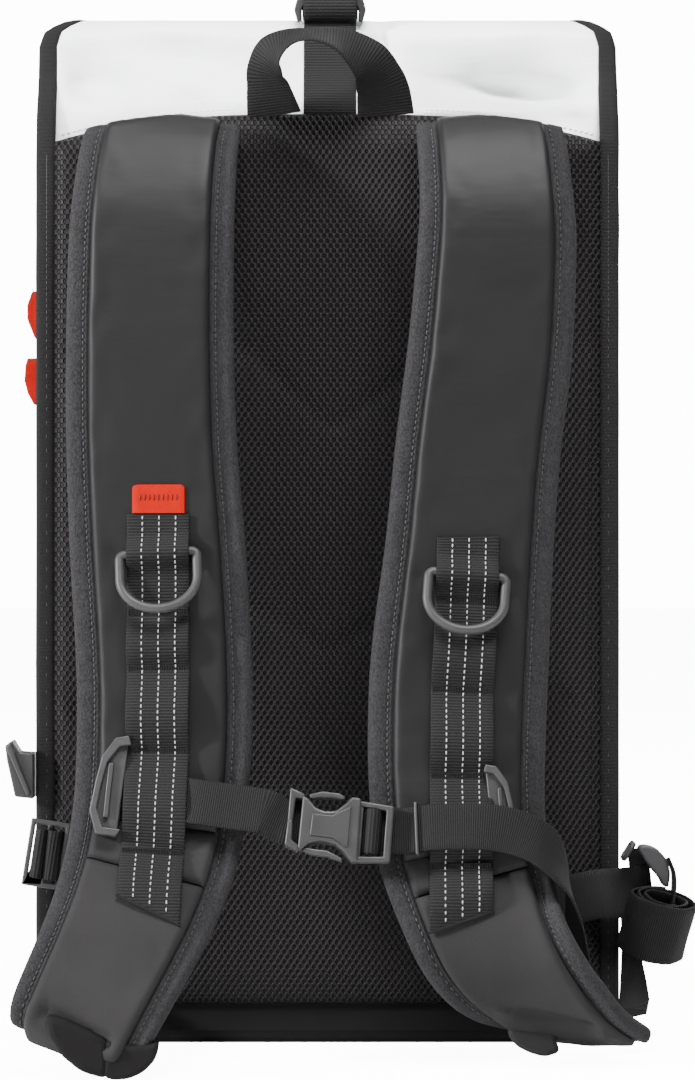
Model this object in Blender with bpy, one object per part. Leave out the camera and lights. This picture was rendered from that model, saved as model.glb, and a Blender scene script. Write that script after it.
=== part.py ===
"""Roll-top backpack, standing, seen from its harness side. Metres, +Z up, harness towards -Y."""
from math import cos, sin, pi, radians

import bmesh
import bpy
from mathutils import Matrix, Vector

# Driving sizes
PACK_WIDTH = 0.330
PACK_HEIGHT = 0.585
PACK_DEPTH = 0.165
GAP = 0.0003

# Shell
SHELL_WALL = 0.0012
COLLAR_SLIT = 0.0006
SMALLEST_CORNER = 0.0001
LARGEST_CORNER_SHARE = 0.48
ROLL_RADIUS = 0.017
ROLL_PITCH = 0.0040
ROLL_TURNS = 2.25
ROLL_STEPS = 12
ROLL_SHARE = 0.582
BOOT_WALL = 0.0015
BOOT_HEIGHT = 0.0226

# Back panel and binding
PAD_THICK = 0.012
COLLAR_HEIGHT = 0.058
PAD_TOP_DROP = 0.016
PAD_RIM_SHARE = 0.4
PAD_ROUND = 0.010
PAD_COLUMNS = (-1.0, -0.97, -0.8, -0.5, -0.2, 0.2, 0.5, 0.8, 0.97, 1.0)
BINDING_WIDTH = 0.0093
BINDING_THICK = 0.004
BINDING_STAND = 0.0044
BINDING_TAPER = {0: 0.4, 1: 0.75}
BINDING_EDGE_SHARE = 0.2
BINDING_TURN_SHARE = 0.86
BINDING_TURNED_SHARE = 0.94

# Straps
STRAP_WIDTH = 0.094
STRAP_THICK = 0.009
STRAP_REACH = 0.128
FACE_THICK = 0.004
LAYER_GAP = 0.0005
SEAM_SLIT = 0.0008
STRAP_STEPS = 2
WEB_STEPS = 2

# Webbing
WEB_THICK = 0.0016
DAISY_WIDTH = 0.0345
DAISY_LIFT = 0.0040
STERNUM_WIDTH = 0.0255
CLOSURE_WIDTH = 0.0300
HIP_WIDTH = 0.0280
ADJUSTER_WIDTH = 0.0240
TAG_WIDTH = 0.0290
TAG_THICK = 0.0012
BUNDLE_TALL = 0.036
BUNDLE_LONG = 0.0195
BUNDLE_DEEP = 0.0115
BUNDLE_SHRINK_SHARE = 0.36
BUNDLE_STEPS = 14
BUNDLE_TURNS = 2
BUNDLE_LEAN = radians(12.0)
BUNDLE_TIP = radians(24.0)

# Rings and buckles
RING_WIRE = 0.0052
RING_WIDTH = 0.0478
RING_DROP = 0.0370
RING_TILT = radians(15.0)
RING_CORNER = 0.003
RING_SHOULDER_SHARE = 0.82
RING_STEPS = 12
RING_BUMP = 0.0110
DAISY_CLEAR = 0.0010
DAISY_BASE = FACE_THICK + DAISY_CLEAR + WEB_THICK / 2
HOOK_LIFT = 0.0024
HOOK_THICK = 0.0065
HOOK_TONGUE = 0.0018
HOOK_CLEAR = 0.0030
HOOK_CORNER = 0.0035
HOOK_CORNER_SHARE = 0.6
STERNUM_TILT = radians(17.0)
STERNUM_DROP = radians(4.5)
BAR_BACK = 0.0010
SLOT_HALF = 0.0145
SOCKET_END = 0.0268
SOCKET_WAIST_SHARE = 0.10
POCKET_HALF = 0.0155
POCKET_BACK = 0.0025
POCKET_FRONT = 0.0045
TONGUE_HALF = 0.0133
WEB_SETTLE = 0.0006
KEEPER_WIRE = 0.0009
KEEPER_CLEAR = 0.0014
KEEPER_STATION = 3.5
SLIDER_WIDE = 0.0225
SLIDER_TALL = 0.0380
SLIDER_BAR = 0.0028
SLIDER_THICK = 0.0020
SLIDER_LEAN = radians(9.0)
SIDE_HOOK_DEEP = 0.020
SIDE_BUCKLE_DEEP = 0.011
SIDE_RING_WIRE = 0.0032
SIDE_RING_DEEP = 0.0120
SIDE_RING_TALL = 0.0095
SIDE_RING_LEAN = radians(33.0)

# Zip on the left side
ZIP_THICK = 0.0016
ZIP_HALF = 0.007
ZIP_LOW, ZIP_HIGH = 0.080, 0.430
ZIP_SHARE = -0.6667

HALF_WIDTH = PACK_WIDTH / 2
HALF_DEPTH = PACK_DEPTH / 2
ROLL_LEAN = ROLL_SHARE * HALF_DEPTH
ZIP_MIDDLE = ZIP_SHARE * HALF_DEPTH
SHELL_SIDE = HALF_WIDTH - BINDING_WIDTH - GAP
SHELL_FLOOR = BOOT_WALL + GAP
PANEL_Y = -HALF_DEPTH - GAP - PAD_THICK
PAD_TOP = PACK_HEIGHT - COLLAR_HEIGHT
COLLAR_HALF = SHELL_WALL + COLLAR_SLIT / 2

X_AXIS = Vector((1, 0, 0))
Y_AXIS = Vector((0, 1, 0))
Z_AXIS = Vector((0, 0, 1))

# Shell sections below the roll. Columns: back as a share of half depth, back height as a
# share of pack height, front as a share of half depth, front height as a share of pack
# height, side as a share of shell side, back and front corner radius as shares of depth,
# pinch of the side pleat as a share of shell side.
SHELL_SECTIONS = (
    (-0.95, 0.000, 0.94, 0.000, 0.975, 0.03, 0.18, 0.00),
    (-1.00, 0.010, 1.00, 0.010, 1.000, 0.03, 0.22, 0.00),
    (-1.00, 0.040, 1.00, 0.040, 1.000, 0.03, 0.22, 0.00),
    (-1.00, 0.300, 1.06, 0.300, 1.000, 0.03, 0.22, 0.00),
    (-1.00, 0.620, 1.03, 0.620, 1.000, 0.03, 0.22, 0.00),
    (-1.00, 0.760, 0.96, 0.760, 1.000, 0.03, 0.20, 0.02),
    (-1.00, 0.850, 0.74, 0.850, 1.000, 0.03, 0.16, 0.08),
    (-0.99, 0.895, 0.30, 0.893, 1.000, 0.03, 0.10, 0.14),
    (-0.94, 0.920, -0.20, 0.918, 1.000, 0.02, 0.06, 0.08),
    (-0.86, 0.945, -0.745, 0.944, 1.000, 0.015, 0.02, 0.00),
)
# Roll ends. Columns: turn in degrees, side as a share of shell side.
ROLL_ENDS = ((0, 1.0), (30, 0.984), (60, 0.925), (90, 0.885), (120, 0.875))

# Strap routes. Columns: up as a share of pack height, side as a share of half width,
# reach, width and thickness as shares of strap reach, width and thickness, and twist in
# degrees.
STRAP_LEFT = (
    (0.892, -0.545, 0.022, 0.898, 0.60, 0),
    (0.860, -0.568, 0.130, 0.939, 1.00, 0),
    (0.811, -0.583, 0.235, 0.964, 1.00, 0),
    (0.763, -0.590, 0.270, 0.980, 1.00, 0),
    (0.668, -0.593, 0.295, 0.992, 1.00, 0),
    (0.573, -0.586, 0.308, 1.009, 1.00, 0),
    (0.478, -0.565, 0.333, 1.036, 1.00, 0),
    (0.383, -0.544, 0.367, 1.034, 1.00, 0),
    (0.318, -0.539, 0.400, 1.032, 1.00, 0),
    (0.253, -0.547, 0.458, 1.016, 1.00, 0),
    (0.198, -0.573, 0.542, 0.999, 1.00, 0),
    (0.154, -0.620, 0.640, 0.956, 1.00, 0),
    (0.111, -0.686, 0.750, 0.902, 1.00, 0),
    (0.072, -0.753, 0.850, 0.861, 1.00, 0),
    (0.046, -0.795, 0.890, 0.836, 0.95, 0),
    (0.031, -0.805, 0.840, 0.800, 0.90, 0),
    (0.028, -0.800, 0.740, 0.740, 0.85, 0),
)
STRAP_RIGHT = (
    (0.890, 0.546, 0.022, 0.862, 0.60, 0),
    (0.860, 0.559, 0.130, 0.891, 1.00, 0),
    (0.811, 0.570, 0.235, 0.911, 1.00, 0),
    (0.763, 0.570, 0.270, 0.939, 1.00, 0),
    (0.668, 0.546, 0.295, 0.968, 1.00, 0),
    (0.573, 0.505, 0.308, 0.973, 1.00, 0),
    (0.478, 0.475, 0.333, 0.989, 1.00, 0),
    (0.383, 0.445, 0.367, 1.040, 1.00, 0),
    (0.318, 0.433, 0.400, 1.043, 1.00, 0),
    (0.253, 0.431, 0.458, 1.022, 1.00, 0),
    (0.198, 0.449, 0.525, 0.988, 1.00, 0),
    (0.138, 0.512, 0.615, 0.905, 1.00, 4),
    (0.104, 0.576, 0.640, 0.855, 1.00, 18),
    (0.072, 0.680, 0.610, 0.800, 1.00, 40),
    (0.042, 0.820, 0.500, 0.740, 0.95, 60),
    (0.026, 0.940, 0.380, 0.690, 0.90, 72),
)
SEAM_SHARE_LEFT = 0.176
SEAM_SHARE_RIGHT = 0.168
FACE_SHARE = 0.72
FACE_TOP_INSET = 0.35
END_FACE_STOP_LEFT = 0.6
END_FACE_STOP_RIGHT = 0.3

# Daisy chains. Columns: up as a share of pack height, side as a share of half width,
# lift as a share of daisy lift.
DAISY_LEFT = (
    (0.510, -0.557, 0.00), (0.498, -0.557, 0.00), (0.424, -0.556, 0.00),
    (0.396, -0.556, 0.35), (0.369, -0.555, 0.00), (0.330, -0.555, 0.40),
    (0.291, -0.554, 0.00), (0.268, -0.556, 0.95), (0.222, -0.560, 0.95),
    (0.198, -0.566, 0.00), (0.172, -0.572, 0.20), (0.146, -0.576, 0.00),
)
DAISY_RIGHT = (
    (0.489, 0.467, 0.00), (0.478, 0.467, 0.00), (0.404, 0.457, 0.00),
    (0.376, 0.451, 0.35), (0.347, 0.446, 0.00), (0.308, 0.443, 0.40),
    (0.271, 0.441, 0.00), (0.250, 0.440, 0.95), (0.206, 0.440, 0.95),
    (0.186, 0.439, 0.15), (0.162, 0.440, 0.35), (0.140, 0.440, 0.30),
)
DAISY_STEPS = 2
DAISY_MERGE = 0.06
# Where the daisy chain is bent over the ring's bar, as shares of the bump's half length.
BUMP_SPOTS = (1.0, 0.75, 0.55, 0.35, 0.12, -0.12, -0.35, -0.55, -0.75, -1.0)

# What is seated on the straps. Columns: up as a share of pack height, side as a share of
# half width.
RING_LEFT = (0.474, -0.557)
RING_RIGHT = (0.454, 0.465)
HOOK_LEFT = (0.245, -0.558)
HOOK_RIGHT = (0.228, 0.440)
# The tag. Columns: up as a share of pack height, width as a share of tag width.
TAG_SIDE_SHARE = -0.557
TAG_ROWS = ((0.5385, 0.80), (0.5375, 0.93), (0.5350, 1.0), (0.5250, 1.0), (0.5115, 1.0))

# Grab handle edges. Columns: side, rise and reach of the outer edge, then of the inner
# edge. The rise is a share of the collar above the pad.
HANDLE_EDGES = (
    (-0.277, 0.0368, -0.05, -0.091, 0.0368, -0.05),
    (-0.277, 0.2133, -0.005, -0.1, 0.183, 0.03),
    (-0.272, 0.4049, 0.03, -0.128, 0.3141, 0.105),
    (-0.223, 0.6268, 0.072, -0.138, 0.4654, 0.205),
    (-0.1, 0.7579, 0.094, -0.086, 0.5663, 0.285),
    (0.06, 0.7478, 0.094, 0.005, 0.536, 0.285),
    (0.189, 0.5663, 0.078, 0.074, 0.3545, 0.205),
    (0.255, 0.3545, 0.03, 0.095, 0.2133, 0.085),
    (0.282, 0.1931, -0.005, 0.1, 0.1326, 0.02),
    (0.297, 0.0368, -0.05, 0.103, 0.0368, -0.05),
)

# Free webbing. Columns: side, up and reach as shares of half width, pack height and
# strap reach, and for the sternum strap its twist in degrees.
STERNUM_LEFT = (
    (-0.200, 0.2370, 0.618, 0), (-0.300, 0.2410, 0.612, 0), (-0.430, 0.2460, 0.605, 0),
)
STERNUM_RIGHT = (
    (0.340, 0.2230, 0.648, 0), (0.500, 0.2240, 0.662, 0),
    (0.620, 0.2180, 0.655, 0), (0.715, 0.2040, 0.640, -12), (0.785, 0.1740, 0.590, -45),
    (0.815, 0.1400, 0.530, -68), (0.832, 0.1080, 0.450, -75), (0.856, 0.0800, 0.400, -72),
)
# The middle of the fastened buckle, and the sternum webs' way out of it. Columns: distance
# from the buckle's middle and distance behind the bar's back, in metres.
STERNUM_SPOT = (0.052, 0.2245, 0.630)
STERNUM_EXIT = ((0.0215, -WEB_SETTLE), (0.0233, 0.0), (0.0268, 0.0), (0.0330, 0.0))

# Hip hardware, stowed at both edges. Its level is a share of pack height. Columns: distance
# past the pack's edge, height above the level and reach before the panel, in metres.
HIP_LEVEL = {"left": 0.186, "right": 0.160}
SIDE_SLIDER = (-0.00710, 0.0, 0.00576)
SIDE_HOOK = (0.0, 0.0, 0.00232)
SIDE_RING = (0.00320, 0.01800, 0.01500)
SIDE_BUCKLE = (0.0, 0.0, 0.02950)
SIDE_BUNDLE = (0.01865, -0.02185, 0.03088)
SIDE_WEB_LEFT = (
    (-0.0297, -0.0009, 0.00205), (-0.0429, -0.0012, 0.00118), (-0.0660, -0.0018, 0.00118),
    (-0.0908, -0.0023, 0.00118),
)
SIDE_WEB_RIGHT = (
    (-0.0726, -0.0176, 0.00118), (-0.0495, -0.0146, 0.00118), (-0.0264, -0.0105, 0.00118),
    (-0.0132, -0.0076, 0.00448), (-0.0017, -0.0060, 0.01216), (0.0083, -0.0045, 0.01702),
    (0.0165, -0.0035, 0.01728),
)
# Outlines of flat moulded pieces at the edges. Columns: distance past the pack's edge and
# height above the hardware's level, in metres.
SIDE_HOOK_OUTLINE = (
    (0.0166, 0.0607), (0.0127, 0.0635), (0.0087, 0.0567), (0.0004, 0.0562),
    (0.0004, 0.0307), (0.0110, 0.0319), (0.0155, 0.0522),
)
SIDE_BUCKLE_OUTLINE = (
    (0.0072, 0.0210), (0.0128, 0.0222), (0.0189, 0.0194), (0.0239, 0.0132),
    (0.0256, 0.0065), (0.0245, -0.0013), (0.0211, -0.0002), (0.0189, 0.0043),
    (0.0150, 0.0088), (0.0111, 0.0143),
)
# The adjusters leave the strap ends: these rows go on from there.
ADJUSTER_LEFT = (
    (-0.810, 0.0400, 0.560), (-0.835, 0.0460, 0.300), (-0.850, 0.0580, 0.090),
    (-0.850, 0.0640, 0.0120),
)
ADJUSTER_RIGHT = (
    (1.035, 0.0400, 0.190), (1.034, 0.0700, 0.090), (1.0270, 0.1050, 0.010),
    (1.0098, 0.1400, -0.005),
)
ADJUSTER_OVERLAP = 1.1
ADJUSTER_SHIFT = {"left": 0.0, "right": -0.014}
ADJUSTER_DROP = {"left": 2 * GAP, "right": 4 * GAP}

# Roll-top closure. The front web leaves the buckle by the first table and runs down the
# front by the second. Columns: distance behind the crest and height above it, in metres;
# then share of half depth and share of pack height.
CLOSURE_SIDE_SHARE = 0.008
CLOSURE_STAND = 0.0006
CLOSURE_START_SHARE = 0.2
CLOSURE_FRONT_SHARE = 0.8
FRONT_WEB_LEAVES = ((0.0282, 0.0050), (0.0340, 0.0018), (0.0398, -0.0088))
FRONT_WEB_RUNS = ((0.300, 0.9400), (0.700, 0.8780), (0.940, 0.8220), (1.020, 0.7500),
                  (1.065, 0.6500))

# Cuts of the moulded pieces along x, y and z, from each piece's own middle.
SOCKET_CUTS = ((-SOCKET_END, -0.0238, -0.0190, -0.0150, 0.0030, 0.0079),
               (-0.0060, -POCKET_FRONT, BAR_BACK, POCKET_BACK, 0.0040),
               (-0.0205, -POCKET_HALF, -SLOT_HALF, SLOT_HALF, POCKET_HALF, 0.0205))
PLUG_CUTS = ((-0.0140, 0.0082, 0.0125, 0.0228, 0.0268),
             (-POCKET_FRONT + GAP, BAR_BACK, POCKET_BACK - GAP),
             (-0.0172, -SLOT_HALF, -TONGUE_HALF, TONGUE_HALF, SLOT_HALF, 0.0172))
CLOSURE_SOCKET_CUTS = ((-0.0195, -0.0160, -0.0125, 0.0125, 0.0160, 0.0195),
                       (-0.0100, -0.0070, -0.0020, 0.0030, 0.0140),
                       (0.0, 0.0030, 0.0070, 0.0100))
CLOSURE_PLUG_CUTS = ((-0.0155, -0.0120, -0.0050, 0.0050, 0.0120, 0.0155),
                     (0.0040, 0.0135, 0.0165, 0.0195, 0.0240, 0.0270),
                     (0.0034, 0.0066))

# Zip pulls. Columns: outermost distance from the side, curve of the outer edge, cuts
# along y and cuts along z; their inner ends are PULL_ROOT from the side.
PULL_ROOT = 0.0022
PULL_CURVED = 0.01
PULL_UPPER = (0.0172, 22.0, (-0.0060, -0.0030), (0.396, 0.402, 0.412, 0.420, 0.428))
PULL_LOWER = (0.0192, 20.0, (0.0000, 0.0030), (0.3630, 0.3700, 0.3770, 0.3860, 0.3900))


def smooth(rows, steps):
    """Rows with more rows between them, on smooth curves through every column."""
    out = []
    last = len(rows) - 1
    for index in range(last):
        before, start = rows[max(index - 1, 0)], rows[index]
        end, after = rows[index + 1], rows[min(index + 2, last)]
        for step in range(steps):
            t = step / steps
            out.append(tuple(
                0.5 * (2 * b + (c - a) * t + (2 * a - 5 * b + 4 * c - d) * t * t
                       + (3 * b - a - 3 * c + d) * t ** 3)
                for a, b, c, d in zip(before, start, end, after)))
    out.append(tuple(rows[last]))
    return out


def spot(side, up, reach):
    """A place from its shares: side of half width, up of height, reach before the panel."""
    return Vector((side * HALF_WIDTH, PANEL_Y - reach * STRAP_REACH, up * PACK_HEIGHT))


def hip_spot(side, past, above, reach):
    """A place of the hip hardware: past the edge, above its level, before the panel."""
    x = (HALF_WIDTH + past) * (-1 if side == "left" else 1)
    return Vector((x, PANEL_Y - reach, HIP_LEVEL[side] * PACK_HEIGHT + above))


class Band:
    """A flat band: at each station a centre, across and outward directions and half sizes."""

    def __init__(self, centres, across, widths, thicks):
        self.centres = centres
        self.half = [(w / 2, t / 2) for w, t in zip(widths, thicks)]
        last = len(centres) - 1
        self.along = [(centres[min(i + 1, last)] - centres[max(i - 1, 0)]).normalized()
                      for i in range(last + 1)]
        self.across = [(a - t * a.dot(t)).normalized() for a, t in zip(across, self.along)]
        self.out = [t.cross(a).normalized() for a, t in zip(self.across, self.along)]

    def frame(self, position):
        """Centre, across, outward and half sizes at a fractional station."""
        index = min(int(position), len(self.centres) - 2)
        t = position - index
        centre, across, out = [a[index].lerp(a[index + 1], t)
                               for a in (self.centres, self.across, self.out)]
        half = [a + (b - a) * t for a, b in zip(self.half[index], self.half[index + 1])]
        return centre, across.normalized(), out.normalized(), half

    def level(self, up):
        """The fractional station at a height."""
        height = up * PACK_HEIGHT
        for index in range(len(self.centres) - 1):
            above, below = self.centres[index].z, self.centres[index + 1].z
            if above >= height > below:
                return index + (above - height) / (above - below)
        return float(len(self.centres) - 1)

    def cut(self, first, last):
        """The stations from one position to another, with both ends."""
        inner = [i for i in range(len(self.centres)) if first + 0.05 < i < last - 0.05]
        return [first, *inner, last]

    def at(self, position, x, lift):
        """A place at a side X and a lift off the outer surface."""
        centre, across, out, half = self.frame(position)
        return centre + across * ((x - centre.x) / across.x) + out * (half[1] + lift)

    def under(self, position, shift, drop):
        """A place at a shift across the band and a drop below its inner surface."""
        centre, across, out, half = self.frame(position)
        return centre + across * shift - out * (half[1] + drop)

    def seat(self, position, x, lift):
        """A matrix on the surface: x across, z up along the band and -y outward."""
        centre, across, out, half = self.frame(position)
        up = across.cross(-out)
        turn = Matrix((across, -out, up)).transposed().to_4x4()
        return Matrix.Translation(self.at(position, x, lift)) @ turn


def carried(points, first_across, twists):
    """Across directions carried along a path without spin, then twisted by degrees."""
    last = len(points) - 1
    across, out = first_across.copy(), []
    for index in range(last + 1):
        along = (points[min(index + 1, last)] - points[max(index - 1, 0)]).normalized()
        across = (across - along * across.dot(along)).normalized()
        out.append(Matrix.Rotation(radians(twists[index]), 3, along) @ across)
    return out


def eased(start, end, count):
    """Across directions that turn evenly from one to another."""
    return [start.lerp(end, index / (count - 1)) for index in range(count)]


def strap_band(table):
    rows = smooth(table, STRAP_STEPS)
    points = [spot(row[1], row[0], row[2]) for row in rows]
    return Band(points, carried(points, X_AXIS, [row[5] for row in rows]),
                [row[3] * STRAP_WIDTH for row in rows],
                [row[4] * STRAP_THICK for row in rows])


# Section outlines. Columns: share of half width, share of half thickness. The strap has
# points where its faces end and fold, so that both bend alike.
EDGE = FACE_SHARE
FOLD = FACE_SHARE / 2
PAD_PROFILE = ((-1, -0.4), (-1, 0.4), (-0.94, 1), (-EDGE, 1), (-FOLD, 1), (0, 1), (FOLD, 1),
               (EDGE, 1), (0.94, 1), (1, 0.4), (1, -0.4), (0.94, -1), (0, -1), (-0.94, -1))
FACE_PROFILE = ((-1, -1), (-1, 0.1), (-0.94, 1), (-0.5, 1), (0, 1), (0.5, 1), (0.94, 1),
                (1, 0.1), (1, -1), (0.5, -1), (0, -1), (-0.5, -1))
WEB_PROFILE = ((-1, -1), (-1, 1), (1, 1), (1, -1))

NODES = bpy.data.collections.new("roll_top_backpack")


def finish(name, bm, material):
    """The closed mesh as a named object with its material, its quads split alike."""
    bmesh.ops.triangulate(bm, faces=bm.faces, quad_method="SHORT_EDGE")
    bmesh.ops.recalc_face_normals(bm, faces=bm.faces)
    if bm.calc_volume(signed=True) < 0:
        bmesh.ops.reverse_faces(bm, faces=bm.faces)
    mesh = bpy.data.meshes.new(name)
    bm.to_mesh(mesh)
    bm.free()
    node = bpy.data.objects.new(name, mesh)
    node.data.materials.append(MATERIALS[material])
    NODES.objects.link(node)
    return node


def skin(name, rings, material, closed=False):
    """A closed body through rings of points, capped unless it runs round into itself."""
    bm = bmesh.new()
    loops = [[bm.verts.new(point) for point in ring] for ring in rings]
    pairs = list(zip(loops, loops[1:]))
    if closed:
        pairs.append((loops[-1], loops[0]))
    for ring, following in pairs:
        count = len(ring)
        for index in range(count):
            nearby = (index + 1) % count
            bm.faces.new((ring[index], ring[nearby], following[nearby], following[index]))
    if not closed:
        bm.faces.new(loops[0])
        bm.faces.new(loops[-1])
    return finish(name, bm, material)


def sweep(name, band, profile, material, lift=0.0):
    """A band as a body. Lift moves it outward from the band's centre."""
    rings = [[centre + across * u * half[0] + out * (h * half[1] + lift) for u, h in profile]
             for centre, across, out, half in
             zip(band.centres, band.across, band.out, band.half)]
    return skin(name, rings, material)


def tube(name, points, radius, material, sides=8):
    """A round wire that runs round into itself, in the plane of its points."""
    count = len(points)
    middle = sum(points, Vector()) / count
    normal = (points[0] - middle).cross(points[count // 3] - middle).normalized()
    rings = []
    for index, point in enumerate(points):
        along = (points[(index + 1) % count] - points[index - 1]).normalized()
        side = along.cross(normal)
        rings.append([point + (side * cos(a) + normal * sin(a)) * radius
                      for a in (2 * pi * k / sides for k in range(sides))])
    return skin(name, rings, material, closed=True)


def cells(name, xs, ys, zs, solid, place, material, shape=None):
    """A body from the solid cells of a grid of cuts, reshaped and then placed."""
    bm = bmesh.new()
    verts = {}
    counts = (len(xs) - 1, len(ys) - 1, len(zs) - 1)

    def corner(i, j, k):
        if (i, j, k) not in verts:
            point = Vector((xs[i], ys[j], zs[k]))
            verts[i, j, k] = bm.verts.new(place @ (shape(point) if shape else point))
        return verts[i, j, k]

    def filled(cell):
        inside = all(0 <= c < n for c, n in zip(cell, counts))
        return inside and solid(*cell)

    for i in range(counts[0]):
        for j in range(counts[1]):
            for k in range(counts[2]):
                if not filled((i, j, k)):
                    continue
                for axis in range(3):
                    for side in (0, 1):
                        beside = [i, j, k]
                        beside[axis] += 2 * side - 1
                        if filled(tuple(beside)):
                            continue
                        u, v = (a for a in range(3) if a != axis)
                        ring = []
                        for du, dv in ((0, 0), (1, 0), (1, 1), (0, 1)):
                            at = [i, j, k]
                            at[axis] += side
                            at[u] += du
                            at[v] += dv
                            ring.append(corner(*at))
                        bm.faces.new(ring)
    return finish(name, bm, material)


def make_material(name, colour, roughness, metallic=0.0):
    material = bpy.data.materials.new(name)
    material.use_nodes = True
    shader = material.node_tree.nodes["Principled BSDF"]
    shader.inputs["Base Color"].default_value = (*colour, 1.0)
    shader.inputs["Roughness"].default_value = roughness
    shader.inputs["Metallic"].default_value = metallic
    return material


def section_ring(section, inset):
    """The ring of points of one shell section, moved inward by the inset."""
    back, front, side, back_corner, front_corner, pinch = section
    depth = front - back
    axis = depth.normalized()
    side, back, front = side - inset, back + axis * inset, front - axis * inset
    span = (front - back).length
    ring = []
    for right, forward, radius in ((-1, 0, back_corner), (-1, 1, front_corner),
                                   (1, 1, front_corner), (1, 0, back_corner)):
        radius = max(min(radius - inset, span * LARGEST_CORNER_SHARE), SMALLEST_CORNER)
        base = front if forward else back
        inward = -axis if forward else axis
        arc = [base + X_AXIS * right * (side - radius + radius * cos(a))
               + inward * radius * (1 - sin(a)) for a in (0, pi / 4, pi / 2)]
        turn_in = (right < 0) == (forward == 1)
        ring.extend(arc if turn_in else arc[::-1])
        if (right, forward) in ((-1, 0), (1, 1)):
            ring.append((back + front) / 2 + X_AXIS * right * (side - pinch))
    return ring


def shell_sections():
    """All sections: back and front middle points, side, corner radii and pinch."""
    out = []
    span = PACK_HEIGHT - SHELL_FLOOR
    for back, back_up, front, front_up, side, r_back, r_front, pinch in SHELL_SECTIONS:
        out.append((Vector((0, back * HALF_DEPTH, SHELL_FLOOR + back_up * span)),
                    Vector((0, front * HALF_DEPTH, SHELL_FLOOR + front_up * span)),
                    side * SHELL_SIDE, r_back * PACK_DEPTH, r_front * PACK_DEPTH,
                    pinch * SHELL_SIDE))
    quarter = ROLL_PITCH / 4
    centre = Vector((0, -ROLL_LEAN, PACK_HEIGHT - (ROLL_RADIUS - quarter) - COLLAR_HALF))
    for step in range(int(ROLL_TURNS * ROLL_STEPS) + 1):
        angle = 2 * pi * step / ROLL_STEPS
        radius = ROLL_RADIUS - ROLL_PITCH * step / ROLL_STEPS
        ray = Vector((0, -cos(angle), sin(angle)))
        out.append((centre + ray * (radius + COLLAR_HALF), centre + ray * (radius - COLLAR_HALF),
                    roll_side(360 * step / ROLL_STEPS), COLLAR_HALF, COLLAR_HALF, 0.0))
    return out


def roll_side(degrees):
    """Half width of the collar at a turn of the roll."""
    for (start, wide), (stop, narrow) in zip(ROLL_ENDS, ROLL_ENDS[1:]):
        if degrees <= stop:
            share = wide + (narrow - wide) * (degrees - start) / (stop - start)
            return share * SHELL_SIDE
    return ROLL_ENDS[-1][1] * SHELL_SIDE


def build_shell():
    sections = shell_sections()
    inner = [section_ring(s, SHELL_WALL) for s in sections]
    inner[0] = [p + Z_AXIS * SHELL_WALL for p in inner[0]]
    skin("pack_shell", [section_ring(s, 0.0) for s in sections] + inner[::-1], "white_fabric")


def build_boot():
    heights = (0.0, SHELL_FLOOR + SHELL_SECTIONS[1][1] * (PACK_HEIGHT - SHELL_FLOOR), BOOT_HEIGHT)
    outer, inner = [], []
    for section, height in zip(shell_sections(), heights):
        level = [Vector((p.x, p.y, height)) for p in section[:2]]
        outer.append(section_ring((*level, *section[2:]), -GAP - BOOT_WALL))
        inner.append(section_ring((*level, *section[2:]), -GAP))
    inner[0] = [p + Z_AXIS * BOOT_WALL for p in inner[0]]
    skin("base_panel", outer + inner[::-1], "black_fabric")


def pad_top(u):
    return PAD_TOP - PAD_TOP_DROP * abs(u) ** 3


def build_pad():
    """A padded plate with a rounded rim and a top edge that falls away to both sides."""
    foot = BOOT_HEIGHT + GAP
    edge = PAD_THICK * (1 - PAD_RIM_SHARE)
    rings = []
    for u in PAD_COLUMNS:
        front = edge if abs(u) == 1 else 0.0
        top = pad_top(u)
        column = [(PAD_THICK, foot), (PAD_THICK, top), (edge, top), (front, top - PAD_ROUND),
                  (front, foot + PAD_ROUND), (edge, foot)]
        rings.append([Vector((u * SHELL_SIDE, PANEL_Y + y, z)) for y, z in column])
    skin("back_pad", rings, "mesh_fabric")


def build_binding(side, name):
    """A woven strip down the long edge, curling in over the end of the roll."""
    sections = shell_sections()[:len(SHELL_SECTIONS) + ROLL_STEPS // 3]
    rings = []
    for index, (back, front, reach, *_) in enumerate(sections):
        axis = (front - back).normalized()
        turned = back.z / PACK_HEIGHT - BINDING_TURN_SHARE
        turned /= BINDING_TURNED_SHARE - BINDING_TURN_SHARE
        share = min(max(turned, 0.0), 1.0)
        middle = -BINDING_STAND * (1 - share) + COLLAR_HALF * share
        if index == 0:
            reach, back = SHELL_SIDE, Vector((0, -HALF_DEPTH, 0))
        taper = BINDING_TAPER.get(len(sections) - 1 - index, 1.0)
        inner = reach + GAP
        outer = inner + BINDING_WIDTH * taper
        half = BINDING_THICK / 2 * min(1.0, taper + BINDING_EDGE_SHARE)
        rings.append([back + axis * (middle + h) + X_AXIS * side * x
                      for x, h in ((inner, -half), (outer, -half), (outer, half), (inner, half))])
    skin(name, rings, "binding_fabric")


def strap_layer(strap, first, last, share, thick):
    """A layer that lies on the outer side of a strap."""
    frames = [strap.frame(p) for p in strap.cut(first, last)]
    lift = LAYER_GAP + thick / 2
    layer = Band([c + o * (h[1] + lift) for c, a, o, h in frames], [a for c, a, o, h in frames],
                 [2 * h[0] * share for c, a, o, h in frames], [thick] * len(frames))
    layer.out = [o for c, a, o, h in frames]
    layer.across = [a for c, a, o, h in frames]
    return layer


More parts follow.
